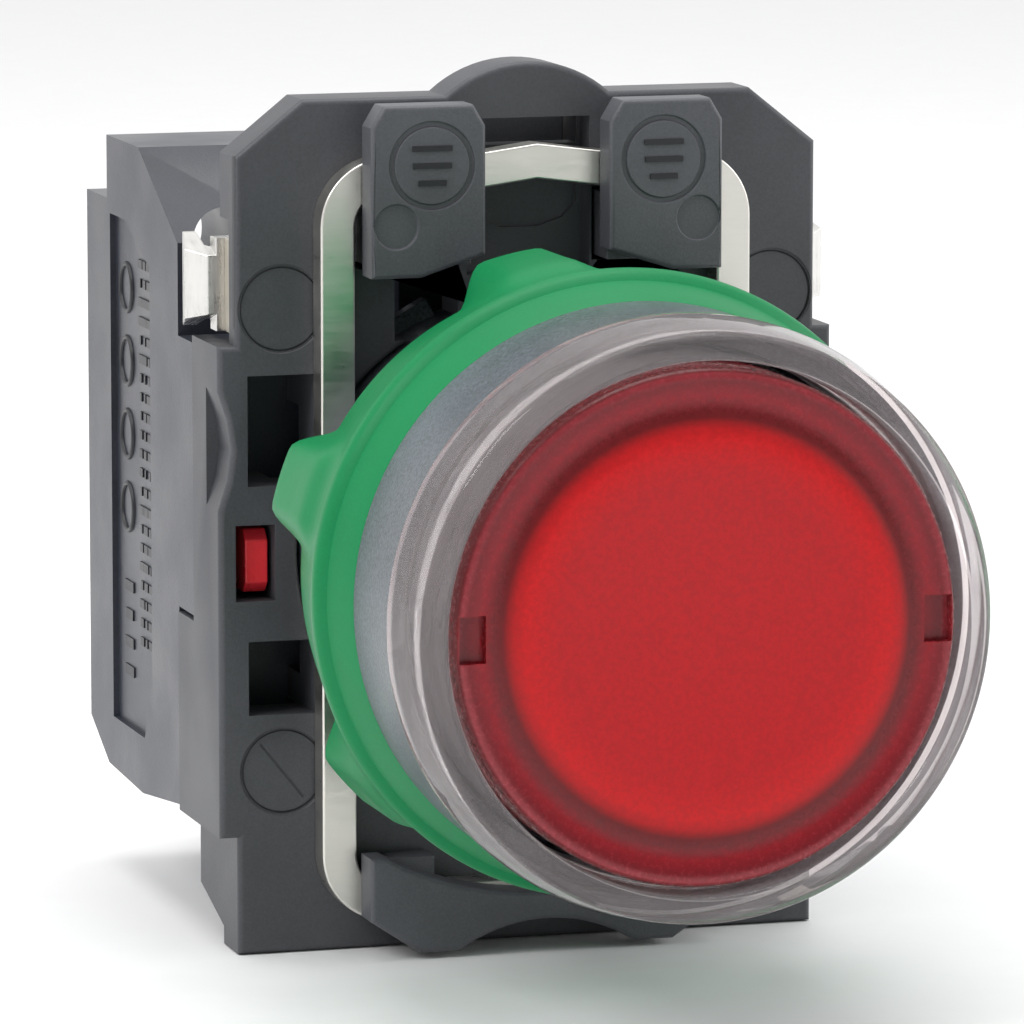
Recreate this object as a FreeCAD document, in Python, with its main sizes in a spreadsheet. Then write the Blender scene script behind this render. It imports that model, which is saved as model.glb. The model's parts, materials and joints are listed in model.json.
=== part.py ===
import FreeCAD, Part
import math
import os
import re

# Illuminated panel push button, 22 mm class.
# Row frame: origin on the button axis where the head meets the panel, front towards -Y, X right, Z up.
# All lengths in millimetres.

doc = FreeCAD.newDocument("PushButton")

SIZES = {
    # the sizes that set the whole button
    "barrel_r": 11.0, "travel": 4.0, "half_w": "barrel_r + 4", "top_z": "barrel_r + 10",
    "plate_front": 6.6, "plate_t": 2.8, "block_back": 33.0, "screw_r": 1.72,
    "slide_clear": 0.06, "free_clear": 0.3, "thread_clear": 0.07,
    # head: bezel with its barrel
    "barrel_end": "plate_front + plate_t + 1", "carrier_r": "barrel_r - 3.8", "barrel_bore": "carrier_r + 0.7",
    "neck_r": "barrel_r + 0.9", "neck_start": -3.0, "bezel_r": "barrel_r + 2.25", "bezel_back": -9.9,
    "bezel_front": "bezel_back - travel - 2.9", "bezel_bore": "bezel_r - 1.35", "spring_bore": "neck_r - 1",
    "spring_seat": -5.0, "bayonet_r": "barrel_r + 0.75", "bayonet_half": 2.0, "bayonet_clear": 0.2,
    # head: gasket, guard ring and lens cap
    "gasket_rear_r": "barrel_r + 1.9", "gasket_rim_r": "bezel_r + 1.2", "gasket_rim_y": "bezel_back + 1.8",
    "gasket_front_y": "bezel_back - 0.7", "gasket_bore_clear": 0.05, "gasket_edge": 0.5,
    "lug_r": "gasket_rim_r + 0.25", "lug_half": 2.1, "lug_depth": 5.6, "lug_turn": 12.0, "lug_count": 6.0,
    "guard_r": "bezel_r + 0.25", "guard_front_r": "guard_r - 0.45", "guard_front": "bezel_front - 4.3",
    "guard_bore": "bezel_r - 1.45", "tongue_r": "bezel_r - 0.55", "tongue_len": 2.2,
    "cap_r": "guard_bore - free_clear", "cap_wall": 1.2, "cap_skirt_end": "bezel_front + 0.3",
    "disc_r": "guard_bore - 2.5", "groove_w": 0.55, "groove_depth": 0.55, "dish_depth": 0.45, "key_half": 1.05,
    "key_depth": 0.8,
    # head: carrier, diffuser, stop ring and return spring
    "carrier_wall": 1.1, "flange_r": "bezel_bore - 0.5", "flange_t": 1.3, "upstand": 2.0, "upstand_wall": 1.2,
    "bezel_bore_end": "cap_skirt_end + flange_t + travel + 1", "diffuser_t": 0.8, "lip_r": "carrier_r + 0.4",
    "lip_t": 0.7, "ring_y": "plate_front - 1.9", "ring_bore": "carrier_r + 0.15", "ring_t": 1.1, "stop_gap": 0.1,
    "lip_front": "ring_y + ring_t + stop_gap", "leg_inner": "carrier_r - 0.7", "leg_outer": "carrier_r + 0.4",
    "leg_half": 1.5, "spring_wire": 0.45, "spring_r": "(carrier_r + spring_bore) / 2 + 0.05", "spring_turns": 5.0,
    # fixing collar
    "waist_w": "half_w - 0.85", "waist_z": "barrel_r - 1.4", "top_half": "half_w - 4.1",
    "shoulder_z": "top_z - 2.6", "arch_r": 6.1, "arch_z": "top_z - 4.6", "side_end_z": "-(barrel_r + 2.6)",
    "foot_z": "-(barrel_r + 8.15)", "foot_back_z": "foot_z + 2.15", "foot_depth": "plate_t + 4.4",
    "scallop_z": 4.7, "scallop_half": 2.8, "scallop_in": 0.65, "collar_bore": "barrel_r + 0.2",
    "boss_r": "barrel_r + 2.1", "boss_bore": "bayonet_r + 0.45", "boss_end": "plate_front + plate_t + 2.1",
    "skirt_t": 0.9, "skirt_end": "boss_end", "skirt_low_end": "boss_end + 3", "skirt_low_z": -4.0,
    "win_l": "half_w - 1.4", "win_r": "half_w - 4.6", "win_top": 8.2, "win_bottom": 3.0, "low_win_top": -4.3,
    "low_win_bottom": -7.8, "red_win_l": "half_w - 0.8", "red_win_r": "half_w - 2.7", "red_win_top": 1.2,
    "red_win_bottom": -2.4, "dark_l": 6.5, "dark_r": 3.4, "dark_bottom": "barrel_r - 1.4",
    "mark_r": 2.0, "mark_x": "half_w - 3.05", "mark_top_z": "barrel_r + 0.3", "mark_low_z": "-(barrel_r - 0.5)",
    "mark_depth": 0.1, "recess_half": 3.0, "recess_top": "top_z - 1.1", "recess_bottom": "barrel_r + 1.6",
    "recess_depth": "plate_t - 1.3", "recess_slot": 1.4, "collar_round": 0.3,
    # metal clamping ribbon
    "ribbon_half": "barrel_r - 0.55", "ribbon_top": "top_z - 2.65", "ribbon_bottom": "-(barrel_r + 6.6)",
    "ribbon_w": 1.65, "ribbon_t": 1.5, "ribbon_corner": 3.2, "ribbon_bow": 0.45, "ribbon_bow_half": 3.4,
    "flat_clear": 0.2, "flat_x": "ribbon_half - ribbon_w - 0.15",
    # pads
    "pad_t": 1.7, "pad_front": "plate_front - ribbon_t - pad_t - 0.1", "pad_in": 3.0,
    "pad_out": "ribbon_half - 1.95", "pad_top": "top_z - 0.1", "pad_bottom": "barrel_r + 1.9",
    "pad_chamfer": 1.0, "pad_cut": 1.0, "pad_disc_r": 1.05, "pad_ring_r": 2.05, "pad_mark": 0.15,
    "stem_in": "pad_in + 0.3", "stem_out": "pad_out - 0.3", "stem_low": "pad_bottom + 0.4",
    "stem_high": "ribbon_top - ribbon_w - 0.3", "stem_clear": 0.2, "low_pad_half": "ribbon_half - 1.85",
    "low_pad_top": "ribbon_bottom + 3.3", "low_pad_side": "ribbon_bottom + 0.3", "low_pad_bottom": "foot_z + 0.25",
    "low_pad_flat": "low_pad_half - 2.4", "low_pad_arch": 4.1, "low_arch_r": 7.6,
    "low_arch_z": "low_pad_bottom - 6.3", "low_pad_r": "2 - low_pad_top",
    # clamp screw
    "clamp_travel": 1.2, "bridge_y": "plate_front + plate_t + clamp_travel + 0.1", "bridge_t": 1.2,
    "bridge_half": 3.0, "bridge_top": "top_z - 1", "clamp_z": "top_z - 3.4", "clamp_r": 1.5,
    "clamp_head_r": "clamp_r + 0.7", "clamp_head_t": 1.6, "nut_y": "bridge_y + bridge_t + 0.5", "nut_t": 1.6,
    "nut_half": 4.7, "nut_low": "bridge_top - 4.6", "post_w": 1.2,
    # terminals: the screws' size sets the plates, the clamps and the channels to the screws
    "unscrew": 1.2, "head_r": "screw_r + 0.63", "head_t": 1.9, "slot_w": 0.7, "slot_depth": 0.8,
    "channel_r": "head_r + 0.4", "plate_half": "screw_r + 0.48", "low_clamp_half": "plate_half - 0.3",
    "terminal_t": 1.0, "clamp_t": 1.0, "seat_gap": 0.05, "tip_len": 0.9, "screw_x": "half_w - skirt_t - 0.1 - plate_half",
    "lip_out": "half_w + 0.7", "lip_back": 3.2, "upper_y": "plate_front + 1.6",
    # contact blocks
    "led_half": 4.75, "block_out": "half_w - 0.1", "block_in": "led_half + 0.25", "block_front": "boss_end + 0.2",
    "block_wall": 1.2, "block_top": "top_z - 3.6", "block_rear_top": "block_top - 3.1",
    "block_step_y": "block_back - 4.2", "block_bottom": "side_end_z - 0.3", "block_rear_bottom": "block_bottom + 1.8",
    "block_chamfer_y": "block_back - 3.8", "cavity_half": "-(screw_low_z + 2)", "cavity_front": "block_front + block_wall",
    "cover_t": 1.3, "cover_half": "cavity_half - 0.2",
    "notch_end": "upper_y + terminal_t + seat_gap + clamp_t + head_t + unscrew + 1.25",
    "notch_in": "screw_x - 3.5", "slope_end": "notch_end + 7.9", "slope_z": "block_top - 3.8",
    "screw_top_z": "block_top - 5.2", "screw_low_z": "block_bottom + 4.4", "lower_y": "cavity_front + 1.1",
    "panel_inset": 0.3, "panel_y0": "block_back - 12.8", "panel_y1": "block_back - 4.8",
    "panel_top": "block_top - 3.8", "panel_bottom": "block_bottom + 2.5", "panel_cut": 1.8,
    # plunger, moving bridge and spring of a contact block
    "push_gap": 0.1, "push_front": "block_front - 0.2", "leg_len": "push_front - push_gap - lip_front - lip_t",
    "push_x": "leg_outer + 0.1", "push_half": 1.2, "bar_y": "cavity_front + 0.2", "bar_t": 2.2, "bar_half": 1.5,
    "tell_out": "half_w - 1.4", "tell_in": "half_w - 2.5", "tell_top": 0.9, "tell_low": -2.1,
    "tell_y": "plate_front + 0.6", "tell_chamfer": 0.5, "bridge_y0": "bar_y + 6.3", "strip_t": 0.8,
    "contact_z": 5.4, "strip_half": "contact_z + 1.2", "strip_w": 2.0, "hub_half": 1.7,
    "hub_x": "push_x + 1.4", "hub_back": "bridge_y0 + 3.2", "block_spring_r": 1.75,
    "block_spring_wire": 0.25, "block_spring_turns": 6.0,
    # light module
    "led_front": "block_front + 0.4", "led_top": "block_top - 3.5", "led_bottom": "block_bottom + 0.5",
    "led_screw_z": "led_top - 3.3", "led_low_z": "led_bottom + 3.9", "led_r": 2.5, "led_window_r": "led_r + 0.5",
    "led_nose": "led_window_r + 1.6", "led_base_y": "led_front - 2.2", "board_y": "cavity_front + 2.3",
    "board_t": 1.2, "board_half": "led_half - 1.55", "board_half_z": 6.4, "resistor_r": 0.9, "resistor_len": 4.2,
    "led_plate_half": "screw_r + 0.28", "led_head_r": "screw_r + 0.38",
}

sheet = doc.addObject("Spreadsheet::Sheet", "Sizes")
for row, alias in enumerate(SIZES, start=1):
    sheet.set(f"A{row}", alias)
    sheet.setAlias(f"B{row}", alias)
for row, size in enumerate(SIZES.values(), start=1):
    sheet.set(f"B{row}", f"={size}" if isinstance(size, str) else str(size))
doc.recompute()


def link(text):
    """Turn a formula in size names into an expression that reads the sheet."""
    return re.sub(r"[a-z]\w*", lambda word: "Sizes." + word[0] if word[0] in SIZES else word[0], str(text))


def value(text):
    return float(sheet.evalExpression(link(text)))


class Piece:
    """One PartDesign body: sketches on its own origin planes, each bound to the sheet."""

    def __init__(self, label):
        self.body = doc.addObject("PartDesign::Body", label)
        self.body.Label = label
        self.label = label

    def origin(self, role):
        return next(item for item in self.body.Origin.OriginFeatures if item.Role == role)

    def sketch(self, plane, offset):
        drawing = self.body.newObject("Sketcher::SketchObject", self.label + "_sketch")
        drawing.AttachmentSupport = [(self.origin(plane + "_Plane"), "")]
        drawing.MapMode = "FlatFace"
        drawing.setExpression("AttachmentOffset.Base.z", link(offset))
        return drawing

    def pin_point(self, drawing, edge, corner, across, up):
        """Hold a sketch point at a formula distance from the sketch origin on both axes."""
        import Sketcher
        for kind, axis, text in (("DistanceX", -2, across), ("DistanceY", -1, up)):
            if text == "0":
                drawing.addConstraint(Sketcher.Constraint("PointOnObject", edge, corner, axis))
            else:
                number = drawing.addConstraint(
                    Sketcher.Constraint(kind, -1, 1, edge, corner, value(text)))
                drawing.setExpression(f"Constraints[{number}]", link(text))

    def outline(self, drawing, loops):
        """Draw each loop: a list of (across, up) formulas, or a circle (across, up, radius)."""
        import Sketcher
        for loop in loops:
            if isinstance(loop, tuple):
                across, up, radius = loop
                centre = FreeCAD.Vector(value(across), value(up), 0)
                edge = drawing.addGeometry(Part.Circle(centre, FreeCAD.Vector(0, 0, 1), value(radius)))
                number = drawing.addConstraint(Sketcher.Constraint("Radius", edge, value(radius)))
                drawing.setExpression(f"Constraints[{number}]", link(radius))
                self.pin_point(drawing, edge, 3, across, up)
                continue
            spots = [FreeCAD.Vector(value(across), value(up), 0) for across, up in loop]
            edges = [drawing.addGeometry(Part.LineSegment(spot, spots[(place + 1) % len(spots)]))
                     for place, spot in enumerate(spots)]
            for place, edge in enumerate(edges):
                after = edges[(place + 1) % len(edges)]
                drawing.addConstraint(Sketcher.Constraint("Coincident", edge, 2, after, 1))
            for edge, (across, up) in zip(edges, loop):
                self.pin_point(drawing, edge, 1, across, up)

    def extrude(self, kind, plane, low, high, loops):
        """Add (Pad) or remove (Pocket) material between two stations on the plane's normal axis."""
        at_high = (plane == "XZ") == (kind == "Pad")
        station = high if at_high else low
        drawing = self.sketch(plane, f"-({station})" if plane == "XZ" else station)
        self.outline(drawing, loops)
        before = self.body.Shape.Volume if self.body.Tip else 0.0
        feature = self.body.newObject("PartDesign::" + kind, self.label + "_" + kind.lower())
        feature.Profile = drawing
        feature.setExpression("Length", link(f"({high}) - ({low})"))
        self.settle(feature, before, kind == "Pad")
        return feature

    def settle(self, feature, before, adds):
        doc.recompute()
        if not feature.isValid():
            raise RuntimeError(f"{feature.Name} failed: {feature.getStatusString()}")
        change = feature.Shape.Volume - before
        if (change <= 0) if adds else (change >= 0):
            raise RuntimeError(f"{feature.Name} changed nothing")

    def pad(self, plane, low, high, *loops):
        return self.extrude("Pad", plane, low, high, loops)

    def cut(self, plane, low, high, *loops):
        return self.extrude("Pocket", plane, low, high, loops)

    def turn(self, *profile, groove=False):
        """Revolve an (r, y) profile about the button axis; a groove removes it."""
        drawing = self.sketch("XY", "0")
        self.outline(drawing, [list(profile)])
        before = self.body.Shape.Volume if self.body.Tip else 0.0
        kind = "Groove" if groove else "Revolution"
        feature = self.body.newObject("PartDesign::" + kind, self.label + "_" + kind.lower())
        feature.Profile = drawing
        feature.ReferenceAxis = (drawing, ["V_Axis"])
        feature.Angle = 360
        self.settle(feature, before, not groove)
        return feature

    def repeat(self, feature, count):
        pattern = self.body.newObject("PartDesign::PolarPattern", self.label + "_pattern")
        pattern.Originals = [feature]
        pattern.Axis = (self.origin("Y_Axis"), [""])
        pattern.Angle = 360
        pattern.setExpression("Occurrences", link(count))
        self.body.Tip = pattern
        doc.recompute()

    def mirror(self, *features):
        pattern = self.body.newObject("PartDesign::Mirrored", self.label + "_mirror")
        pattern.Originals = list(features)
        pattern.MirrorPlane = (self.origin("YZ_Plane"), [""])
        self.body.Tip = pattern
        doc.recompute()

    def dress(self, kind, size, test):
        """Round or chamfer the edges of the tip that pass the test."""
        base = self.body.Tip
        names = [f"Edge{number}" for number, edge in enumerate(base.Shape.Edges, start=1) if test(edge)]
        if not names:
            raise RuntimeError(f"{self.label}: no edge to dress")
        feature = self.body.newObject("PartDesign::" + kind, self.label + "_" + kind.lower())
        feature.Base = (base, names)
        feature.setExpression("Radius" if kind == "Fillet" else "Size", link(size))
        doc.recompute()
        if not feature.isValid():
            raise RuntimeError(f"{feature.Name} failed: {feature.getStatusString()}")


def rect(left, right, low, high):
    """Corner formulas of a rectangle."""
    return [(left, low), (right, low), (right, high), (left, high)]


def along(axis):
    """Test for straight edges parallel to an axis."""
    direction = {"X": FreeCAD.Vector(1, 0, 0), "Y": FreeCAD.Vector(0, 1, 0),
                 "Z": FreeCAD.Vector(0, 0, 1)}[axis]

    def test(edge):
        if not isinstance(edge.Curve, Part.Line):
            return False
        return edge.Curve.Direction.cross(direction).Length < 1e-6
    return test


def in_plane(axis, text):
    """Test for edges that lie wholly in the plane axis = formula."""
    index, station = "XYZ".index(axis), value(text)

    def test(edge):
        box = edge.BoundBox
        low = (box.XMin, box.YMin, box.ZMin)[index]
        high = (box.XMax, box.YMax, box.ZMax)[index]
        return abs(low - station) < 1e-4 and abs(high - station) < 1e-4
    return test


def near(*spots):
    """Test for edges along Y whose place in X and Z is one of the given formula pairs."""
    targets = [(value(across), value(up)) for across, up in spots]

    def test(edge):
        if not along("Y")(edge):
            return False
        point = edge.Vertexes[0].Point
        return any(abs(point.x - x) < 1e-3 and abs(point.z - z) < 1e-3 for x, z in targets)
    return test


nodes = {}


def keep(piece):
    nodes[piece.label] = piece.body
    return piece


def coil(label, radius, wire, turns, start, end, across="0", up="0"):
    """A compression spring along Y: a wire circle swept along a helix."""
    helix = doc.addObject("Part::Helix", label + "_helix")
    circle = doc.addObject("Part::Circle", label + "_wire")
    length = f"(({end}) - ({start}) - 2 * {wire})"
    helix.setExpression("Radius", link(radius))
    helix.setExpression("Height", link(length))
    helix.setExpression("Pitch", link(f"{length} / {turns}"))
    helix.SegmentLength = 0.25
    circle.setExpression("Radius", link(wire))
    circle.Placement = FreeCAD.Placement(FreeCAD.Vector(), FreeCAD.Rotation(FreeCAD.Vector(1, 0, 0), 90))
    circle.setExpression("Placement.Base.x", link(radius))
    sweep = doc.addObject("Part::Sweep", label)
    sweep.Sections = [circle]
    doc.recompute()
    sweep.Spine = (helix, [f"Edge{number}" for number in range(1, len(helix.Shape.Edges) + 1)])
    sweep.Solid = True
    sweep.Frenet = True
    sweep.Placement = FreeCAD.Placement(FreeCAD.Vector(), FreeCAD.Rotation(FreeCAD.Vector(1, 0, 0), -90))
    sweep.setExpression("Placement.Base.x", link(across))
    sweep.setExpression("Placement.Base.y", link(f"({start}) + {wire}"))
    sweep.setExpression("Placement.Base.z", link(up))
    doc.recompute()
    nodes[label] = sweep


def opposite(label, source):
    """The right-hand copy of a left-hand piece, mirrored in the plane X = 0."""
    copy = doc.addObject("Part::Mirroring", label)
    copy.Label = label
    copy.Source = nodes[source]
    copy.Normal = FreeCAD.Vector(1, 0, 0)
    copy.Base = FreeCAD.Vector(0, 0, 0)
    doc.recompute()
    nodes[label] = copy


# ---------------------------------------------------------------- head
bezel = keep(Piece("bezel"))
bezel.turn(("barrel_bore", "barrel_end"), ("barrel_r", "barrel_end"), ("barrel_r", "neck_start"),
           ("neck_r", "neck_start"), ("neck_r", "bezel_back"), ("bezel_r", "bezel_back"),
           ("bezel_r", "bezel_front"), ("tongue_r", "bezel_front"),
           ("tongue_r", "bezel_front + tongue_len"), ("bezel_bore", "bezel_front + tongue_len"),
           ("bezel_bore", "bezel_bore_end"), ("spring_bore", "bezel_bore_end"),
           ("spring_bore", "spring_seat"), ("barrel_bore", "spring_seat"))
# side grooves that the collar's metal ribbon drops into
groove_front = "plate_front - ribbon_t - flat_clear"
for left, right in (("-barrel_r - 1", "-flat_x"), ("flat_x", "barrel_r + 1")):
    bezel.cut("XZ", groove_front, "plate_front + flat_clear", rect(left, right, "-barrel_r", "barrel_r"))
# bayonet lugs hook behind the collar's bore
lug_front = "plate_front + plate_t + bayonet_clear"
lug = bezel.pad("XZ", lug_front, f"{lug_front} + 0.8",
                rect("barrel_r - 0.5", "bayonet_r", "-bayonet_half", "bayonet_half"))
bezel.repeat(lug, "3")

gasket = keep(Piece("panel_gasket"))
gasket.turn(("barrel_r + gasket_bore_clear", "0"), ("gasket_rear_r", "0"),
            ("gasket_rim_r", "gasket_rim_y + gasket_edge"), ("gasket_rim_r", "gasket_rim_y"),
            ("gasket_rim_r - gasket_edge", "gasket_rim_y - gasket_edge"),
            ("bezel_r", "gasket_front_y"), ("bezel_r", "bezel_back"), ("neck_r", "bezel_back"),
            ("neck_r", "neck_start"), ("barrel_r + gasket_bore_clear", "neck_start"))
turned = gasket.body.newObject("Sketcher::SketchObject", "panel_gasket_lug")
turned.AttachmentSupport = [(gasket.origin("XZ_Plane"), "")]
turned.MapMode = "FlatFace"
turned.setExpression("AttachmentOffset.Rotation.Angle", link("lug_turn"))
gasket.outline(turned, [[("-lug_half - 0.9", "gasket_rear_r - 0.5"), ("lug_half + 0.9", "gasket_rear_r - 0.5"),
                         ("lug_half", "lug_r - 0.7"), ("lug_half - 0.7", "lug_r"),
                         ("0.7 - lug_half", "lug_r"), ("-lug_half", "lug_r - 0.7")]])
lug = gasket.body.newObject("PartDesign::Pad", "panel_gasket_lug_pad")
lug.Profile = turned
lug.setExpression("Length", link("lug_depth"))
doc.recompute()
gasket.repeat(lug, "lug_count")

guard = keep(Piece("guard_ring"))
guard.turn(("guard_bore", "bezel_front + tongue_len"), ("tongue_r", "bezel_front + tongue_len"),
           ("tongue_r", "bezel_front"), ("guard_r", "bezel_front"), ("guard_r", "bezel_front - 1.2"),
           ("guard_front_r", "guard_front"), ("guard_bore", "guard_front"))
guard.dress("Fillet", "0.45", lambda edge: in_plane("Y", "guard_front")(edge))

cap = keep(Piece("lens_cap"))
cap.turn(("0", "guard_front + dish_depth"), ("disc_r - 1.8", "guard_front + 0.12"),
         ("disc_r - 0.5", "guard_front"), ("disc_r", "guard_front + 0.25"),
         ("disc_r + 0.1", "guard_front + groove_depth"),
         ("disc_r + groove_w", "guard_front + groove_depth"),
         ("disc_r + groove_w + 0.1", "guard_front + 0.2"), ("cap_r - 0.5", "guard_front + 0.2"),
         ("cap_r", "guard_front + 0.6"), ("cap_r", "cap_skirt_end"),
         ("cap_r - cap_wall", "cap_skirt_end"), ("cap_r - cap_wall", "guard_front + 1.6"),
         ("0", "guard_front + 1.6"))
key = cap.cut("XZ", "guard_front - 1", "guard_front + key_depth + 0.2",
              rect("-(cap_r - 0.15)", "-(disc_r + groove_w + 0.2)", "-key_half", "key_half"))
cap.mirror(key)

carrier = keep(Piece("lens_carrier"))
flange_back = "cap_skirt_end + flange_t"
carrier.turn(("carrier_r - carrier_wall", "cap_skirt_end"),
             ("cap_r - cap_wall - upstand_wall", "cap_skirt_end"),
             ("cap_r - cap_wall - upstand_wall", "cap_skirt_end - upstand"),
             ("cap_r - cap_wall - 0.02", "cap_skirt_end - upstand"),
             ("cap_r - cap_wall - 0.02", "cap_skirt_end"), ("flange_r", "cap_skirt_end"),
             ("flange_r", flange_back), ("carrier_r", flange_back), ("carrier_r", "lip_front"),
             ("lip_r", "lip_front"), ("lip_r", "lip_front + lip_t"),
             ("carrier_r - carrier_wall", "lip_front + lip_t"))
legs = [carrier.pad("XZ", "lip_front + lip_t - 0.4", "lip_front + lip_t + leg_len",
                    rect("-leg_outer", "-leg_inner", "-leg_half", "leg_half"))]
carrier.mirror(*legs)

diffuser = keep(Piece("diffuser"))
diffuser.pad("XZ", "cap_skirt_end - upstand - diffuser_t", "cap_skirt_end - upstand",
             ("0", "0", "cap_r - cap_wall - 0.1"))

bush = keep(Piece("guide_bush"))
bush.pad("XZ", "spring_seat + 0.2", "ring_y",
         ("0", "0", "barrel_bore"), ("0", "0", "carrier_r + slide_clear"))
stop = keep(Piece("retaining_ring"))
stop.pad("XZ", "ring_y", "ring_y + ring_t", ("0", "0", "barrel_bore"), ("0", "0", "ring_bore"))
coil("return_spring", "spring_r", "spring_wire", "spring_turns", flange_back, "spring_seat")

# ---------------------------------------------------------------- fixing collar
plate_back = "plate_front + plate_t"
collar = keep(Piece("fixing_collar"))
left_edge = [("-top_half", "top_z"), ("-waist_w", "shoulder_z"), ("-waist_w", "waist_z"), ("-half_w", "waist_z"),
             ("-half_w", "scallop_z + scallop_half"),
             ("-(half_w - 0.7 * scallop_in)", "scallop_z + 0.5 * scallop_half"),
             ("-(half_w - scallop_in)", "scallop_z"),
             ("-(half_w - 0.7 * scallop_in)", "scallop_z - 0.5 * scallop_half"),
             ("-half_w", "scallop_z - scallop_half"), ("-half_w", "side_end_z"),
             ("-waist_w", "side_end_z"), ("-waist_w", "foot_z")]
right_edge = [(f"-({across})", up) for across, up in reversed(left_edge)]
collar.pad("XZ", "plate_front", plate_back, left_edge + right_edge)
collar.pad("XZ", "plate_front", plate_back, ("0", "arch_z", "arch_r"))
collar.cut("XZ", "plate_front - 1", f"{plate_back} + 0.1", ("0", "0", "collar_bore"))
collar.dress("Fillet", "collar_round", lambda edge: in_plane("Y", "plate_front")(edge))
collar.pad("XZ", f"{plate_back} - 0.5", "boss_end", ("0", "0", "boss_r"), ("0", "0", "boss_bore"))
collar.pad("YZ", "-waist_w", "waist_w",
           [(f"{plate_back} - 0.5", "side_end_z - 0.2"), (f"{plate_back} - 0.5", "foot_z + 0.7"),
            ("plate_front + foot_depth", "foot_back_z"), ("plate_front + foot_depth", "side_end_z - 0.2")])
skirts = [collar.pad("XZ", f"{plate_back} - 0.5", "skirt_end",
                     rect("-half_w", "-(half_w - skirt_t)", "skirt_low_z", "waist_z")),
          collar.pad("XZ", f"{plate_back} - 0.5", "skirt_low_end",
                     rect("-half_w", "-(half_w - skirt_t)", "side_end_z", "skirt_low_z"))]
posts = collar.pad("XZ", f"{plate_back} - 0.5", "nut_y",
                   rect("-nut_half", "-(nut_half - post_w)", "stem_high + stem_clear + 0.1", "bridge_top"))
collar.mirror(*skirts, posts)
windows = [
    collar.cut("XZ", "plate_front - 1", "boss_end + 0.1",
               rect("-win_l", "-win_r", "win_bottom", "win_top"),
               rect("-win_l", "-win_r", "low_win_bottom", "low_win_top"),
               rect("-red_win_l", "-red_win_r", "red_win_bottom", "red_win_top"),
               rect("-dark_l", "-dark_r", "dark_bottom", "stem_low - stem_clear - 0.001"),
               rect("-(stem_out + stem_clear)", "-(stem_in - stem_clear)",
                    "stem_low - stem_clear", "stem_high + stem_clear")),
    # recess behind the plate for the upper terminal, open at the side
    collar.cut("XZ", "upper_y - 0.4", "skirt_end + 1",
               rect("-half_w - 1", "-notch_in", "waist_z", "shoulder_z - 3")),
    collar.cut("XZ", "plate_front - 1", "plate_front + mark_depth",
               ("-mark_x", "mark_top_z", "mark_r"), ("-mark_x", "mark_low_z", "mark_r")),
]
collar.mirror(*windows)
collar.cut("XZ", "plate_front - 1", "plate_front + recess_depth",
           rect("-recess_half", "recess_half", "recess_bottom", "recess_top"))
collar.cut("XZ", "plate_front + recess_depth - 1", "plate_front + recess_depth + 0.3",
           [("-recess_half + 0.2", "recess_top - 1.6"), ("-recess_half + 0.2", "recess_top - 4.2"),
            ("-recess_half + 0.9", "recess_top - 4.9"), ("-0.9", "recess_top - 5.3"),
            ("0.9", "recess_top - 5.3"), ("recess_half - 0.9", "recess_top - 4.9"),
            ("recess_half - 0.2", "recess_top - 4.2"), ("recess_half - 0.2", "recess_top - 1.6")])
collar.cut("XZ", "plate_front - 1", "plate_front + plate_t + 0.1",
           rect("-recess_half + 0.2", "recess_half - 0.2", "recess_top - recess_slot", "recess_top"))

ribbon = keep(Piece("clamp_ribbon"))
ribbon_loops = []
for inset in ("0", "ribbon_w"):
    side = f"ribbon_half - {inset}"
    top = f"ribbon_top - {inset}"
    ribbon_loops.append([(f"-({side})", f"ribbon_bottom + {inset}"), (side, f"ribbon_bottom + {inset}"),
                         (side, top), ("ribbon_bow_half", top), ("0", f"{top} + ribbon_bow"),
                         ("-ribbon_bow_half", top), (f"-({side})", top)])
ribbon.pad("XZ", "plate_front - ribbon_t", "plate_front", *ribbon_loops)
ribbon.dress("Fillet", "ribbon_corner", near(
    ("-ribbon_half", "ribbon_bottom"), ("ribbon_half", "ribbon_bottom"),
    ("-ribbon_half", "ribbon_top"), ("ribbon_half", "ribbon_top")))
ribbon.dress("Fillet", "ribbon_corner - ribbon_w", near(
    ("-(ribbon_half - ribbon_w)", "ribbon_bottom + ribbon_w"),
    ("ribbon_half - ribbon_w", "ribbon_bottom + ribbon_w"),
    ("-(ribbon_half - ribbon_w)", "ribbon_top - ribbon_w"),
    ("ribbon_half - ribbon_w", "ribbon_top - ribbon_w")))

pad_back = "pad_front + pad_t"
pad = keep(Piece("pressure_pad_left"))
pad.pad("XZ", "pad_front", pad_back,
        [("-pad_out", "pad_bottom"), ("-(pad_out - 2.4)", "pad_bottom"), ("-pad_in", "pad_bottom + pad_cut"),
         ("-pad_in", "pad_top - pad_chamfer"), ("-(pad_in + 0.6)", "pad_top"),
         ("-(pad_out - 0.6)", "pad_top"), ("-pad_out", "pad_top - pad_chamfer")])
pad.dress("Fillet", "0.25", in_plane("Y", "pad_front"))
pad.pad("XZ", f"{pad_back} - 0.2", "bridge_y", rect("-stem_out", "-stem_in", "stem_low", "stem_high"))
pad.cut("XZ", "pad_front - 1", "pad_front + pad_mark",
        ("-(pad_in + 2.6)", "pad_top - 2.8", "pad_ring_r"),
        ("-(pad_in + 2.6)", "pad_top - 2.8", "pad_ring_r - 0.25"))
pad.cut("XZ", "pad_front - 1", "pad_front + pad_mark", ("-(pad_out - 1.2)", "pad_bottom + 2.4", "pad_disc_r"))

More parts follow.
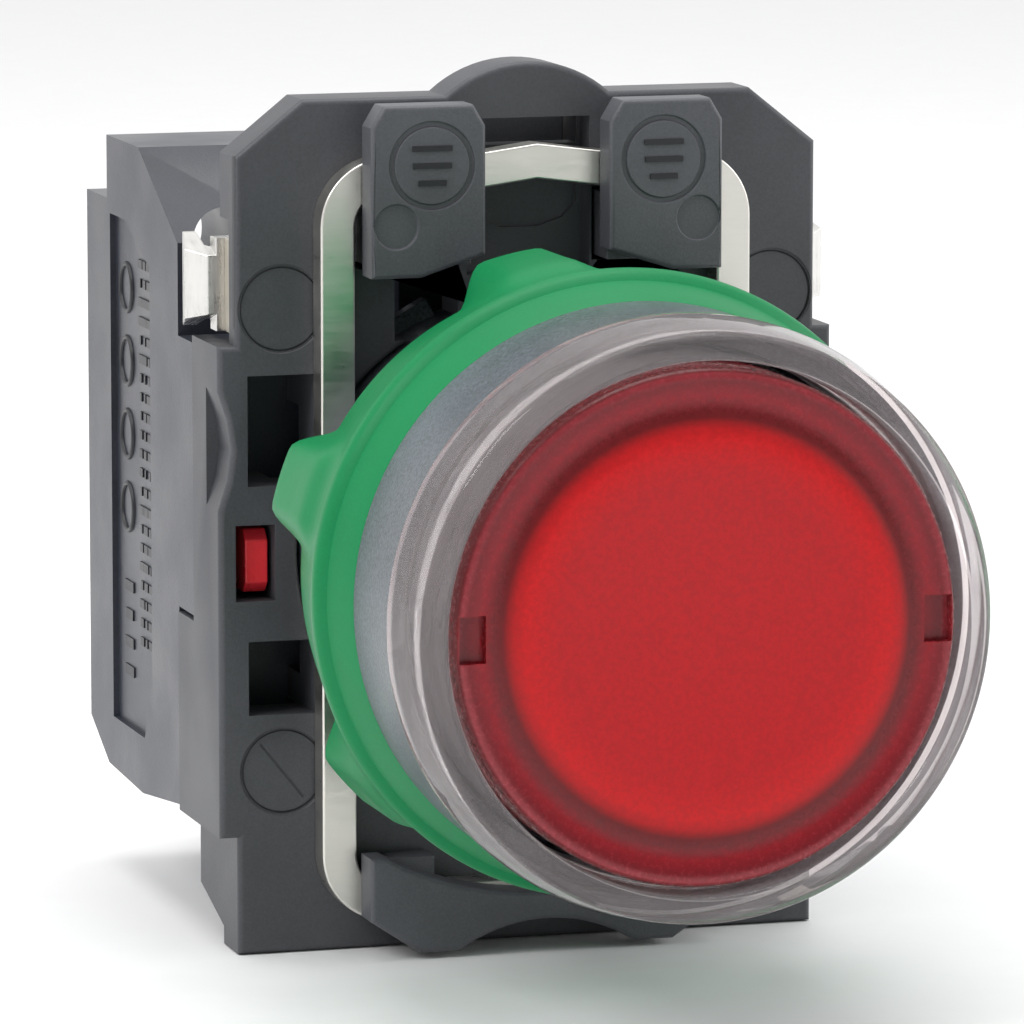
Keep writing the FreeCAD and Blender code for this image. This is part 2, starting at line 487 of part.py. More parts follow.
low_pad = keep(Piece("lower_pad"))
low_pad.pad("XZ", "pad_front", "plate_front - ribbon_t",
            [("-low_pad_half", "low_pad_top"), ("-low_pad_half", "low_pad_side"),
             ("-low_pad_flat", "low_pad_bottom"), ("low_pad_flat", "low_pad_bottom"),
             ("low_pad_half", "low_pad_side"), ("low_pad_half", "low_pad_top")])
low_pad.cut("XZ", "pad_front - 1", "plate_front", ("0", "0", "low_pad_r"))
low_pad.cut("XZ", "pad_front - 1", "plate_front", ("0", "low_arch_z", "low_arch_r"))
low_pad.dress("Fillet", "0.25", in_plane("Y", "pad_front"))
low_pad.pad("XZ", "plate_front - ribbon_t - 0.2", "plate_front",
            rect("-(ribbon_half - ribbon_corner - 0.1)", "-(low_pad_arch + 1)",
                 "ribbon_bottom + ribbon_w + 0.02", "low_pad_top - 0.3"),
            rect("low_pad_arch + 1", "ribbon_half - ribbon_corner - 0.1",
                 "ribbon_bottom + ribbon_w + 0.02", "low_pad_top - 0.3"))

bridge = keep(Piece("pressure_bridge"))
bridge.pad("XZ", "bridge_y", "bridge_y + bridge_t",
           [("-stem_out", "stem_low"), ("stem_out", "stem_low"), ("stem_out", "nut_low - 0.3"),
            ("bridge_half", "nut_low - 0.3"), ("bridge_half", "bridge_top"), ("-bridge_half", "bridge_top"),
            ("-bridge_half", "nut_low - 0.3"), ("-stem_out", "nut_low - 0.3")])

nut = keep(Piece("clamp_nut"))
nut.pad("XZ", "nut_y", "nut_y + nut_t", rect("-nut_half", "nut_half", "nut_low", "bridge_top"),
        ("0", "clamp_z", "clamp_r + thread_clear"))


def slot_screw(label, across, up, radius, head, tip, under, head_t):
    """A slotted cheese-head screw along Y with its head at the back."""
    screw = keep(Piece(label))
    screw.pad("XZ", tip, f"({under}) + 0.1", (across, up, radius))
    screw.pad("XZ", under, f"({under}) + {head_t}", (across, up, head))
    screw.cut("XZ", f"({under}) + {head_t} - slot_depth", f"({under}) + {head_t} + 1",
              rect(f"{across} - {head} - 1", f"{across} + {head} + 1",
                   f"{up} - slot_w / 2", f"{up} + slot_w / 2"))


slot_screw("clamp_screw", "0", "clamp_z", "clamp_r", "clamp_head_r", "bridge_y + bridge_t",
           "nut_y + nut_t + clamp_travel + 0.3", "clamp_head_t")

# ---------------------------------------------------------------- contact block, left hand
block = keep(Piece("nc_housing"))
block.pad("YZ", "-block_out", "-block_in",
          [("block_front", "block_bottom + 0.5"), ("block_front", "waist_z - 0.4"), ("notch_end", "waist_z - 0.4"),
           ("notch_end", "block_top"), ("block_step_y", "block_top"), ("block_step_y", "block_rear_top"),
           ("block_back", "block_rear_top"), ("block_back", "block_rear_bottom"),
           ("block_chamfer_y", "block_bottom"), ("block_chamfer_y - 7", "block_bottom - 0.3"),
           ("skirt_low_end + 0.2", "block_bottom + 0.5")])
# sloped opening that leads a screwdriver to the upper terminal
block.cut("YZ", "-block_out - 1", "-notch_in",
          [("notch_end - 1", "slope_z"), ("notch_end", "slope_z"), ("slope_end", "block_top + 0.1"),
           ("notch_end - 1", "block_top + 0.1")])
block.cut("XZ", "notch_end - 1", "block_back + 1", ("-screw_x", "screw_top_z", "channel_r"))
block.cut("XZ", "lower_y - 1.1", "block_back + 1", ("-screw_x", "screw_low_z", "channel_r"))
# mechanism chamber, open at the back
block.cut("XZ", "cavity_front", "block_back + 1",
          rect("-(block_out - block_wall)", "-(block_in + block_wall)", "-cavity_half", "cavity_half"))
strip_end = "bridge_y0 + 2 * strip_t + travel + 0.3"
block.cut("XZ", "lower_y - 1.1", strip_end,
          rect("-(block_out - 0.6)", "-(block_in + block_wall)",
               "screw_low_z - plate_half - 0.2", "screw_low_z + plate_half + 0.2"))
block.cut("XZ", "notch_end - 1", strip_end,
          rect("-(notch_in + 1.1)", "-notch_in", "cavity_half - 0.1", "screw_top_z"))
# openings for the push stem and the tell-tale
block.cut("XZ", "block_front - 1", "cavity_front + 0.1",
          rect("-(push_x + push_half + 0.3)", "-(push_x - push_half - 0.3)", "-bar_half - 0.3", "bar_half + 0.3"),
          rect("-(tell_out + 0.2)", "-(tell_in - 0.3)", "tell_low - 0.3", "tell_top + 0.3"))
# inset label panel on the outer side
block.cut("YZ", "-block_out - 1", "-(block_out - panel_inset)",
          [("panel_y0", "panel_top - panel_cut"), ("panel_y0", "panel_bottom + 3"),
           ("panel_y0 + 1.6", "panel_bottom"), ("panel_y1", "panel_bottom"), ("panel_y1", "panel_top"),
           ("panel_y0 + 5", "panel_top")])
# room for the collar's lower skirt
block.cut("XZ", "block_front - 1", "skirt_low_end + 0.2",
          rect("-block_out - 1", "-(half_w - skirt_t - 0.15)", "block_bottom", "skirt_low_z + 0.2"))

cover = keep(Piece("nc_cover"))
cover.pad("XZ", "block_back - cover_t", "block_back",
          rect("-(block_out - block_wall - 0.05)", "-(block_in + block_wall + 0.05)", "-cover_half", "cover_half"))
cover.pad("XZ", "block_back - cover_t - 2.2", "block_back - cover_t + 0.1",
          ("-hub_x", "0", "block_spring_r - block_spring_wire - 0.15"))

plunger = keep(Piece("nc_plunger"))
plunger.pad("XZ", "bar_y", "bar_y + bar_t", rect("-(tell_out - 0.3)", "-(push_x - push_half)", "-bar_half", "bar_half"))
plunger.pad("XZ", "push_front", "bar_y + 0.2",
            rect("-(push_x + push_half)", "-(push_x - push_half)", "-bar_half", "bar_half"))
plunger.pad("XZ", "tell_y", "bar_y + 1.2", rect("-tell_out", "-tell_in", "tell_low", "tell_top"))
plunger.dress("Chamfer", "tell_chamfer",
              lambda edge: in_plane("Y", "tell_y")(edge) and edge.BoundBox.XLength > 0.5)
plunger.pad("XZ", "bar_y + 0.5", "hub_back", rect("-(hub_x + hub_half)", "-(hub_x - hub_half)",
                                                "-hub_half", "hub_half"))
plunger.cut("XZ", "bridge_y0", "bridge_y0 + strip_t",
            rect("-(hub_x + strip_w / 2)", "-(hub_x - strip_w / 2)", "-hub_half - 1", "hub_half + 1"))

strip = keep(Piece("nc_bridge"))
strip.pad("XZ", "bridge_y0", "bridge_y0 + strip_t",
          rect("-(hub_x + strip_w / 2)", "-(hub_x - strip_w / 2)", "-strip_half", "strip_half"))

coil("nc_spring", "block_spring_r", "block_spring_wire", "block_spring_turns", "hub_back",
     "block_back - cover_t", "-hub_x", "0")


def contact_strip(label, high, plate_y, contact_y):
    """A fixed contact: screwed plate, web to the back and a tongue that faces the moving bridge."""
    piece = keep(Piece(label))
    side = "" if high else "-"
    hole = "screw_top_z" if high else "screw_low_z"
    web = ("-(notch_in + 0.9)", "-(notch_in + 0.3)")
    piece.pad("XZ", plate_y, f"{plate_y} + terminal_t",
              rect("-(screw_x + plate_half)", web[1], f"{hole} - plate_half", f"{hole} + plate_half"),
              ("-screw_x", hole, "screw_r + thread_clear"))
    near_edge, far_edge = f"{hole} - {side}plate_half", f"{hole} - {side}(plate_half - 1.6)"
    piece.pad("XZ", f"{plate_y} + terminal_t - 0.2", f"{contact_y} + strip_t", upright(*web, near_edge, far_edge, high))
    tip = f"{side}(contact_z - 0.6)"
    piece.pad("XZ", contact_y, f"{contact_y} + strip_t", upright(*web, tip, far_edge, high))
    piece.pad("XZ", contact_y, f"{contact_y} + strip_t",
              upright("-(hub_x + strip_w / 2)", "-(notch_in + 0.4)", tip, f"{side}(contact_z + 1.1)", high))


def upright(left, right, inner, outer, high):
    """A rectangle given from its end nearer the button axis, above or below it."""
    return rect(left, right, inner, outer) if high else rect(left, right, outer, inner)


closed_y = "bridge_y0 - strip_t - 0.05"
open_y = "bridge_y0 + strip_t + travel + 0.1"
contact_strip("nc_terminal_upper", True, "upper_y", closed_y)
contact_strip("nc_terminal_lower", False, "lower_y", closed_y)

washer = keep(Piece("nc_clamp_upper"))
washer_y = "upper_y + terminal_t + seat_gap"
washer.pad("XY", "screw_top_z - plate_half", "screw_top_z + plate_half",
           [("-(screw_x - plate_half)", washer_y), ("-(lip_out - 0.9)", washer_y),
            ("-lip_out", f"{washer_y} + 0.9"), ("-(lip_out - 0.5)", f"{washer_y} + lip_back"),
            ("-(lip_out - 1.1)", f"{washer_y} + lip_back"), ("-(lip_out - 1.1)", f"{washer_y} + clamp_t + 0.3"),
            ("-(lip_out - 1.4)", f"{washer_y} + clamp_t"), ("-(screw_x - plate_half)", f"{washer_y} + clamp_t")])
washer.cut("XZ", f"{washer_y} - 1", f"{washer_y} + clamp_t + 1", ("-screw_x", "screw_top_z", "screw_r + 0.1"))
washer.cut("YZ", "-lip_out - 1", "-(lip_out - 1.3)",
           [(f"{washer_y} - 1", "screw_top_z + plate_half + 0.1"), (f"{washer_y} - 1", "screw_top_z + 1.1"),
            (f"{washer_y} + lip_back", "screw_top_z + plate_half + 0.1")],
           [(f"{washer_y} - 1", "screw_top_z - plate_half - 0.1"), (f"{washer_y} - 1", "screw_top_z - 1.1"),
            (f"{washer_y} + lip_back", "screw_top_z - plate_half - 0.1")])
slot_screw("nc_screw_upper", "-screw_x", "screw_top_z", "screw_r", "head_r",
           "upper_y - 0.3", f"{washer_y} + clamp_t", "head_t")

low_washer_y = "lower_y + terminal_t + seat_gap"
washer = keep(Piece("nc_clamp_lower"))
washer.pad("XZ", low_washer_y, f"{low_washer_y} + clamp_t",
           rect("-(screw_x + low_clamp_half)", "-(screw_x - low_clamp_half)",
                "screw_low_z - low_clamp_half", "screw_low_z + low_clamp_half"),
           ("-screw_x", "screw_low_z", "screw_r + 0.1"))
slot_screw("nc_screw_lower", "-screw_x", "screw_low_z", "screw_r", "head_r",
           "lower_y - tip_len", f"{low_washer_y} + clamp_t", "head_t")

# ---------------------------------------------------------------- contact block, right hand
contact_strip("no_strip_upper", True, "upper_y", open_y)
contact_strip("no_strip_lower", False, "lower_y", open_y)
for part, source in (("terminal_upper", "no_strip_upper"), ("terminal_lower", "no_strip_lower")):
    opposite("no_" + part, source)
    del nodes[source]
for part in ("housing", "cover", "plunger", "bridge", "spring", "clamp_upper", "screw_upper",
             "clamp_lower", "screw_lower"):
    opposite("no_" + part, "nc_" + part)

# ---------------------------------------------------------------- light module
led = keep(Piece("led_housing"))
led.pad("YZ", "-led_half", "led_half",
        [("led_front", "led_bottom"), ("led_front", "led_top"), ("block_step_y", "led_top"),
         ("block_back", "led_top - 1.5"), ("block_back", "led_bottom + 1.5"), ("block_step_y", "led_bottom")])
led.pad("XZ", "led_base_y", "led_front + 0.2", ("0", "0", "led_nose"))
led.cut("XZ", "cavity_front", "block_back + 1",
        rect("-(led_half - block_wall)", "led_half - block_wall", "-cavity_half", "cavity_half"))
led.cut("XZ", "led_base_y - 1", "cavity_front + 0.1", ("0", "0", "led_window_r"))
for height in ("led_screw_z", "led_low_z"):
    led.cut("XZ", "lower_y - 1", "block_back + 1", ("0", height, "led_head_r + 0.4"))
    led.cut("XZ", "lower_y - 0.3", "lower_y + 4",
            rect("-(led_half - 0.8)", "led_half - 0.8", f"{height} - 2.4", f"{height} + 2.4"))

cover = keep(Piece("led_cover"))
cover.pad("XZ", "block_back - cover_t", "block_back",
          rect("-(led_half - block_wall - 0.05)", "led_half - block_wall - 0.05", "-cover_half + 0.4", "cover_half - 0.4"))
board = keep(Piece("led_board"))
board.pad("XZ", "board_y", "board_y + board_t", rect("-board_half", "board_half", "-board_half_z", "board_half_z"))
lamp = keep(Piece("led_lamp"))
lamp.turn(("0", "board_y"), ("led_r", "board_y"), ("led_r", "led_front + 0.4"), ("led_r * 0.92", "led_front - 0.7"),
          ("led_r * 0.62", "led_front - 1.7"), ("0", "led_front - 2.2"))
resistor = keep(Piece("led_resistor"))
resistor.pad("YZ", "-resistor_len / 2", "resistor_len / 2", ("board_y + board_t + resistor_r", "3.6", "resistor_r"))
for name, height in (("upper", "led_screw_z"), ("lower", "led_low_z")):
    sign = "" if name == "upper" else "-"
    piece = keep(Piece("led_terminal_" + name))
    piece.pad("XZ", "lower_y", "lower_y + terminal_t",
              rect("-led_plate_half", "led_plate_half", f"{height} - led_plate_half", f"{height} + led_plate_half"),
              ("0", height, "screw_r + thread_clear"))
    washer = keep(Piece("led_clamp_" + name))
    washer.pad("XZ", low_washer_y, f"{low_washer_y} + clamp_t",
               rect("0.05 - led_plate_half", "led_plate_half - 0.05",
                    f"{height} - led_plate_half + 0.05", f"{height} + led_plate_half - 0.05"), ("0", height, "screw_r + 0.1"))
    slot_screw("led_screw_" + name, "0", height, "screw_r", "led_head_r",
               "lower_y - tip_len", f"{low_washer_y} + clamp_t", "head_t")

# right-hand pressure pad
opposite("pressure_pad_right", "pressure_pad_left")

# ---------------------------------------------------------------- checks and files
doc.recompute()
for item in doc.Objects:
    if "Invalid" in item.State or "Error" in item.State:
        raise RuntimeError(f"{item.Name} is {item.State}")
os.makedirs("parts", exist_ok=True)
for name, item in nodes.items():
    shape = item.Shape
    if shape.isNull() or not shape.isValid() or len(shape.Solids) != 1:
        raise RuntimeError(f"{name} is not one valid solid ({len(shape.Solids)})")
    shape.exportStep(f"parts/{name}.step")
    print(f"{name:24s} {shape.Volume:9.1f} mm3")
print(len(nodes), "pieces")
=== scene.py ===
"""Illuminated panel push button: finishes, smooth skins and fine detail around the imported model."""

import json
import logging
import math
from collections.abc import Callable, Sequence
from dataclasses import dataclass, field
from enum import Enum

import bmesh
import bpy
from mathutils import Matrix, Vector

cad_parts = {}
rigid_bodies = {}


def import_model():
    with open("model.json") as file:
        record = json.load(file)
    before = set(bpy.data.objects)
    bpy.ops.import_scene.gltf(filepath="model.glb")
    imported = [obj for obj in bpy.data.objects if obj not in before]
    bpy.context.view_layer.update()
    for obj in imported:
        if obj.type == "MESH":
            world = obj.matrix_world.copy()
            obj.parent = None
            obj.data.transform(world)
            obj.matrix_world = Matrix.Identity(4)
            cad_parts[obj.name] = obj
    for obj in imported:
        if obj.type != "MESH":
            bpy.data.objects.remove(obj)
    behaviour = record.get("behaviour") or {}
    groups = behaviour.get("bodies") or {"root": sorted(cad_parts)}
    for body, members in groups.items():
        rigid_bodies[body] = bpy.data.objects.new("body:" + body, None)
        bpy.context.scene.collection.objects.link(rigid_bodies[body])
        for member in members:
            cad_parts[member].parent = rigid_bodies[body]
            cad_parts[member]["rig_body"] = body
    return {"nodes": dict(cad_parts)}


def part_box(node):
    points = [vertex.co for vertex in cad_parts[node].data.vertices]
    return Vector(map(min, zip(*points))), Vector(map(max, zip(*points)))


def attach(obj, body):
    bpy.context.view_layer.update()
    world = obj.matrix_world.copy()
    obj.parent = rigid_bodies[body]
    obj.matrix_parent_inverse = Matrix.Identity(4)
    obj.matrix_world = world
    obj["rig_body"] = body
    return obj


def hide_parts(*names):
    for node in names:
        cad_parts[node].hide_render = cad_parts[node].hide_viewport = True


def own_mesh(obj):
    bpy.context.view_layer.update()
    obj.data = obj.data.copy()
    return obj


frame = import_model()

LOG = logging.getLogger("push_button")
MM = 0.001
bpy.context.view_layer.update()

Point = tuple[float, float]
Place = tuple[float, float, float]
Colour = tuple[float, float, float]
NOISE_SPAN = (0.3, 0.7)
MIX_FACTOR, MIX_FIRST, MIX_SECOND, MIX_RESULT = 0, 6, 7, 2
MERGE_M = 1e-7
FLAT_DEG = 0.6
CRISP_DEG = 32.0
BEVEL_DEG = 35.0


class Side(Enum):
    """The two hands of the button, seen from the front."""

    LEFT = -1
    RIGHT = 1


class Station(Enum):
    """The three blocks behind the fixing collar."""

    BREAK = "nc"
    MAKE = "no"
    LIGHT = "led"


# ---------------------------------------------------------------- shader arithmetic
class Signal:
    """A number that varies over a surface; arithmetic on it adds Math nodes."""

    def __init__(self, graph: "Graph", socket: bpy.types.NodeSocket) -> None:
        """Wrap one output socket of a graph."""
        self.graph = graph
        self.socket = socket

    def _math(self, operation: str, *terms: "Signal | float") -> "Signal":
        """Add one Math node over the terms."""
        return self.graph.signal("ShaderNodeMath", {"operation": operation}, *terms)

    def __add__(self, other: "Signal | float") -> "Signal":
        """Sum."""
        return self._math("ADD", self, other)

    def __sub__(self, other: "Signal | float") -> "Signal":
        """Difference."""
        return self._math("SUBTRACT", self, other)

    def __mul__(self, other: "Signal | float") -> "Signal":
        """Product."""
        return self._math("MULTIPLY", self, other)

    def __rsub__(self, other: float) -> "Signal":
        """A number less this signal."""
        return self._math("SUBTRACT", other, self)

    __radd__ = __add__
    __rmul__ = __mul__

    def size(self) -> "Signal":
        """Absolute value."""
        return self._math("ABSOLUTE", self)

    def root(self) -> "Signal":
        """Square root."""
        return self._math("SQRT", self)

    def larger(self, other: "Signal | float") -> "Signal":
        """The larger of two."""
        return self._math("MAXIMUM", self, other)

    def ramp(self, low: float, high: float, start: float = 0.0, end: float = 1.0) -> "Signal":
        """Ease from start at low to end at high.

        Args:
            low: Where the ramp begins.
            high: Where the ramp ends.
            start: Value below low.
            end: Value above high.

        Returns:
            The eased signal.
        """
        settings = {"interpolation_type": "SMOOTHSTEP"}
        return self.graph.signal("ShaderNodeMapRange", settings, self, low, high, start, end)

    def near(self, full: float, gone: float) -> "Signal":
        """1 within full of zero on either side, easing to 0 at gone."""
        return self.size().ramp(full, gone, 1.0, 0.0)


class Graph:
    """One material's node graph around a single Principled shader."""

    def __init__(self, name: str, **constants: object) -> None:
        """Start a material.

        Args:
            name: The finish's name.
            constants: Principled socket names with spaces as underscores, and their fixed values.
        """
        self.material = bpy.data.materials.new(name)
        self.material.use_nodes = True
        self.tree = self.material.node_tree
        self.tree.nodes.clear()
        self.shader = self.add("ShaderNodeBsdfPrincipled", {})
        self.output = self.add("ShaderNodeOutputMaterial", {})
        self.tree.links.new(self.shader.outputs[0], self.output.inputs[0])
        for label, value in constants.items():
            self.feed(self.shader.inputs[label.replace("_", " ")], value)
        where = self.add("ShaderNodeTexCoord", {}).outputs["Object"]
        self.where = self.add("ShaderNodeVectorMath", {"operation": "SCALE"}, where, Scale=1 / MM).outputs[0]
        split = self.add("ShaderNodeSeparateXYZ", {}, self.where)
        self.across, self.deep, self.up = (Signal(self, out) for out in split.outputs)

    def feed(self, socket: bpy.types.NodeSocket, value: object) -> None:
        """Link a signal or socket to a socket, or set its fixed value.

        Args:
            socket: The socket to feed.
            value: A signal, a socket, or a fixed number, vector or colour.
        """
        if isinstance(value, Signal):
            value = value.socket
        if isinstance(value, bpy.types.NodeSocket):
            self.tree.links.new(value, socket)
        elif socket.type == "RGBA" and len(value) == 3:
            socket.default_value = (*value, 1.0)
        else:
            socket.default_value = value

    def add(self, kind: str, settings: dict[str, object], *values: object, **named: object) -> bpy.types.Node:
        """Add a node.

        Args:
            kind: The node's type.
            settings: The node's own settings, set first.
            values: Values or links for its sockets, in order.
            named: Values or links by socket name.

        Returns:
            The node.
        """
        node = self.tree.nodes.new(kind)
        for name, setting in settings.items():
            setattr(node, name, setting)
        for socket, value in zip([s for s in node.inputs if s.enabled], values):
            self.feed(socket, value)
        for name, value in named.items():
            self.feed(node.inputs[name.replace("_", " ")], value)
        return node

    def signal(self, kind: str, settings: dict[str, object], *values: object, **named: object) -> Signal:
        """Add a node and wrap its first output."""
        return Signal(self, self.add(kind, settings, *values, **named).outputs[0])

    def give(self, label: str, value: "Signal | bpy.types.NodeSocket | float") -> None:
        """Feed one socket of the Principled shader."""
        self.feed(self.shader.inputs[label], value)

    def away(self, across: float = 0.0, up: float = 0.0) -> Signal:
        """Distance in millimetres from a line along the button's axis direction."""
        sideways, upwards = self.across - across, self.up - up
        return (sideways * sideways + upwards * upwards).root()

    def noise(self, per_mm: float | Colour, detail: float = 2.0, roughness: float = 0.5) -> Signal:
        """Noise fixed to the piece.

        Args:
            per_mm: Cycles per millimetre, on each axis if three are given.
            detail: Number of finer layers.
            roughness: Strength of each layer against the coarser one.

        Returns:
            The noise, from 0 to 1.
        """
        vector, scale = self.where, per_mm
        if isinstance(per_mm, tuple):
            vector = self.add("ShaderNodeVectorMath", {"operation": "MULTIPLY"}, vector, per_mm).outputs[0]
            scale = 1.0
        return self.signal("ShaderNodeTexNoise", {}, Vector=vector, Scale=scale, Detail=detail,
                           Roughness=roughness)

    def blend(self, factor: Signal, first: "Colour | bpy.types.NodeSocket",
              second: "Colour | bpy.types.NodeSocket") -> bpy.types.NodeSocket:
        """Mix two colours by a signal.

        Args:
            factor: 0 for the first colour, 1 for the second.
            first: A colour or a colour socket.
            second: A colour or a colour socket.

        Returns:
            The mixed colour's socket.
        """
        node = self.add("ShaderNodeMix", {"data_type": "RGBA"})
        for index, value in ((MIX_FACTOR, factor), (MIX_FIRST, first), (MIX_SECOND, second)):
            self.feed(node.inputs[index], value)
        return node.outputs[MIX_RESULT]

    def bands(self, factor: Signal, stops: Sequence[tuple[float, Colour]]) -> bpy.types.NodeSocket:
        """Colour bands along a signal.

        Args:
            factor: The signal, from 0 to 1.
            stops: Places from 0 to 1 and their colours, in order.

        Returns:
            The colour's socket.
        """
        node = self.add("ShaderNodeValToRGB", {}, factor)
        ramp = node.color_ramp
        ramp.elements[0].position, ramp.elements[0].color = stops[0][0], (*stops[0][1], 1.0)
        ramp.elements[1].position, ramp.elements[1].color = stops[-1][0], (*stops[-1][1], 1.0)
        for place, colour in stops[1:-1]:
            ramp.elements.new(place).color = (*colour, 1.0)
        return node.outputs[0]

    def relief(self, height: Signal, depth_mm: float, strength: float = 1.0) -> None:
        """Raise the surface by a height signal times a depth in millimetres."""
        bump = self.add("ShaderNodeBump", {}, Strength=strength, Distance=depth_mm * MM, Height=height)
        self.feed(self.shader.inputs["Normal"], bump.outputs[0])


# ---------------------------------------------------------------- finishes
@dataclass(frozen=True)
class Moulded:
    """Injection-moulded plastic with a spark-eroded grain, sized in millimetres and cycles per millimetre."""

    name: str
    colour: Colour
    roughness: float = 0.42
    grain: float = 9.0
    cloud: float = 0.16
    depth: float = 0.012
    spread: float = 0.22
    specular: float = 0.5
    coat: float = 0.0
    speckle: float = 0.45

    def graph(self) -> tuple[Graph, Signal]:
        """Build the grain, colour spread and roughness.

        Returns:
            The graph and the height signal of its grain.
        """
        graph = Graph(self.name, Specular_IOR_Level=self.specular, Coat_Weight=self.coat, Coat_Roughness=0.15)
        fine = graph.noise(self.grain, 3.0, 0.6)
        cloud = graph.noise(self.cloud, 3.0)
        darker = tuple(c * (1 - self.spread) for c in self.colour)
        lighter = tuple(min(1.0, c * (1 + self.spread)) for c in self.colour)
        tone = fine * self.speckle + cloud * (1 - self.speckle)
        graph.give("Base Color", graph.blend(tone.ramp(*NOISE_SPAN), darker, lighter))
        graph.give("Roughness", cloud.ramp(*NOISE_SPAN, self.roughness - 0.05, self.roughness + 0.06))
        return graph, fine

    def material(self) -> bpy.types.Material:
        """Build the grained plastic.

        Returns:
            The finished material.
        """
        graph, height = self.graph()
        graph.relief(height, self.depth)
        return graph.material


@dataclass(frozen=True)
class CollarPlastic(Moulded):
    """The collar's plastic, with the moulding's ejector rings and parting line."""

    rings: tuple[Point, ...] = ((-11.95, 11.3), (11.95, 11.3), (-11.95, -10.5), (11.95, -10.5))
    ring_r: float = 2.0
    slot_at: Point = (-11.95, -10.5)
    slot_lean: Point = (0.78, 0.62)
    slot_reach: float = 1.6
    front_y: float = 6.6
    parting_x: float = 14.15
    parting_z: float = 10.2
    line_depth: float = 0.05

    def material(self) -> bpy.types.Material:
        """Build the grained plastic with fine rings, a slanted slot line and a parting line.

        Returns:
            The finished material.
        """
        graph, grain = self.graph()
        front = (graph.deep - self.front_y).near(0.25, 0.6)
        above = graph.up.ramp(self.parting_z, self.parting_z + 0.4)
        lines = (graph.across.size() - self.parting_x).near(0.02, 0.08) * above
        for x, z in self.rings:
            lines = lines.larger((graph.away(x, z) - self.ring_r).near(0.03, 0.11))
        x, z = self.slot_at
        lean_x, lean_z = self.slot_lean
        slant = ((graph.across - x) * lean_x + (graph.up - z) * lean_z).near(0.03, 0.1)
        inside = graph.away(x, z).near(self.slot_reach, self.slot_reach + 0.15)
        lines = lines.larger(slant * inside) * front
        plain = graph.shader.inputs["Base Color"].links[0].from_socket
        graph.give("Base Color", graph.blend(lines * 0.5, plain, tuple(c * 0.3 for c in self.colour)))
        graph.relief(grain * self.depth - lines * self.line_depth, 1.0)
        return graph.material


@dataclass(frozen=True)
class Plated:
    """Rolled or turned metal with a bright plating, faint streaks and fine scratches."""

    name: str
    colour: Colour
    roughness: float = 0.24
    streak: Colour = (6.0, 0.35, 0.35)
    spread: float = 0.12
    scratch_depth: float = 0.002

    def material(self) -> bpy.types.Material:
        """Build the metal, with streaks along one axis and cloudy plating.

        Returns:
            The finished material.
        """
        graph = Graph(self.name)
        streaks = graph.noise(self.streak, 4.0, 0.7)
        cloud = graph.noise(0.5, 3.0)
        dull = tuple(c * (1 - self.spread * 1.6) for c in self.colour)
        shine = (streaks * 0.5 + cloud * 0.5).ramp(0.3, 0.65)
        worn = (streaks * 0.6 + cloud * 0.4).ramp(*NOISE_SPAN, self.roughness - 0.06, self.roughness + 0.1)
        graph.give("Base Color", graph.blend(shine, dull, self.colour))
        graph.give("Metallic", 1.0)
        graph.give("Roughness", worn)
        graph.relief(streaks, self.scratch_depth)
        return graph.material


@dataclass(frozen=True)
class ClearPlastic:
    """Polished clear polycarbonate that bends light, with faint flow ripples and smears, tinted pink as a
    painted reflection of the red lens.
    """

    name: str
    # pale pink: painted reflection of the red lens, in both the shaded part and the see-through part
    tint: Colour = (1.0, 0.945, 0.945)
    clear: float = 0.55
    transmission: float = 0.86
    ior: float = 1.46

    def material(self) -> bpy.types.Material:
        """Build the clear plastic: part straight-through, part refracting.

        Returns:
            The finished material.
        """
        graph = Graph(self.name, Base_Color=self.tint, Transmission_Weight=self.transmission, IOR=self.ior,
                      Specular_IOR_Level=0.6)
        smear = graph.noise((0.25, 0.9, 0.25), 3.0)
        graph.give("Roughness", smear.ramp(0.35, 0.75, 0.03, 0.12))
        graph.relief(graph.noise(0.35, 1.0), 0.06, 0.5)
        through = graph.add("ShaderNodeBsdfTransparent", {}, self.tint)
        edge = graph.signal("ShaderNodeLayerWeight", {}, Blend=0.33)
        factor = edge.ramp(0.0, 0.6, 1.0 - self.clear, 1.0) - smear.ramp(0.4, 0.7) * 0.1
        mixed = graph.add("ShaderNodeMixShader", {}, factor, through.outputs[0], graph.shader.outputs[0])
        graph.feed(graph.output.inputs[0], mixed.outputs[0])
        return graph.material


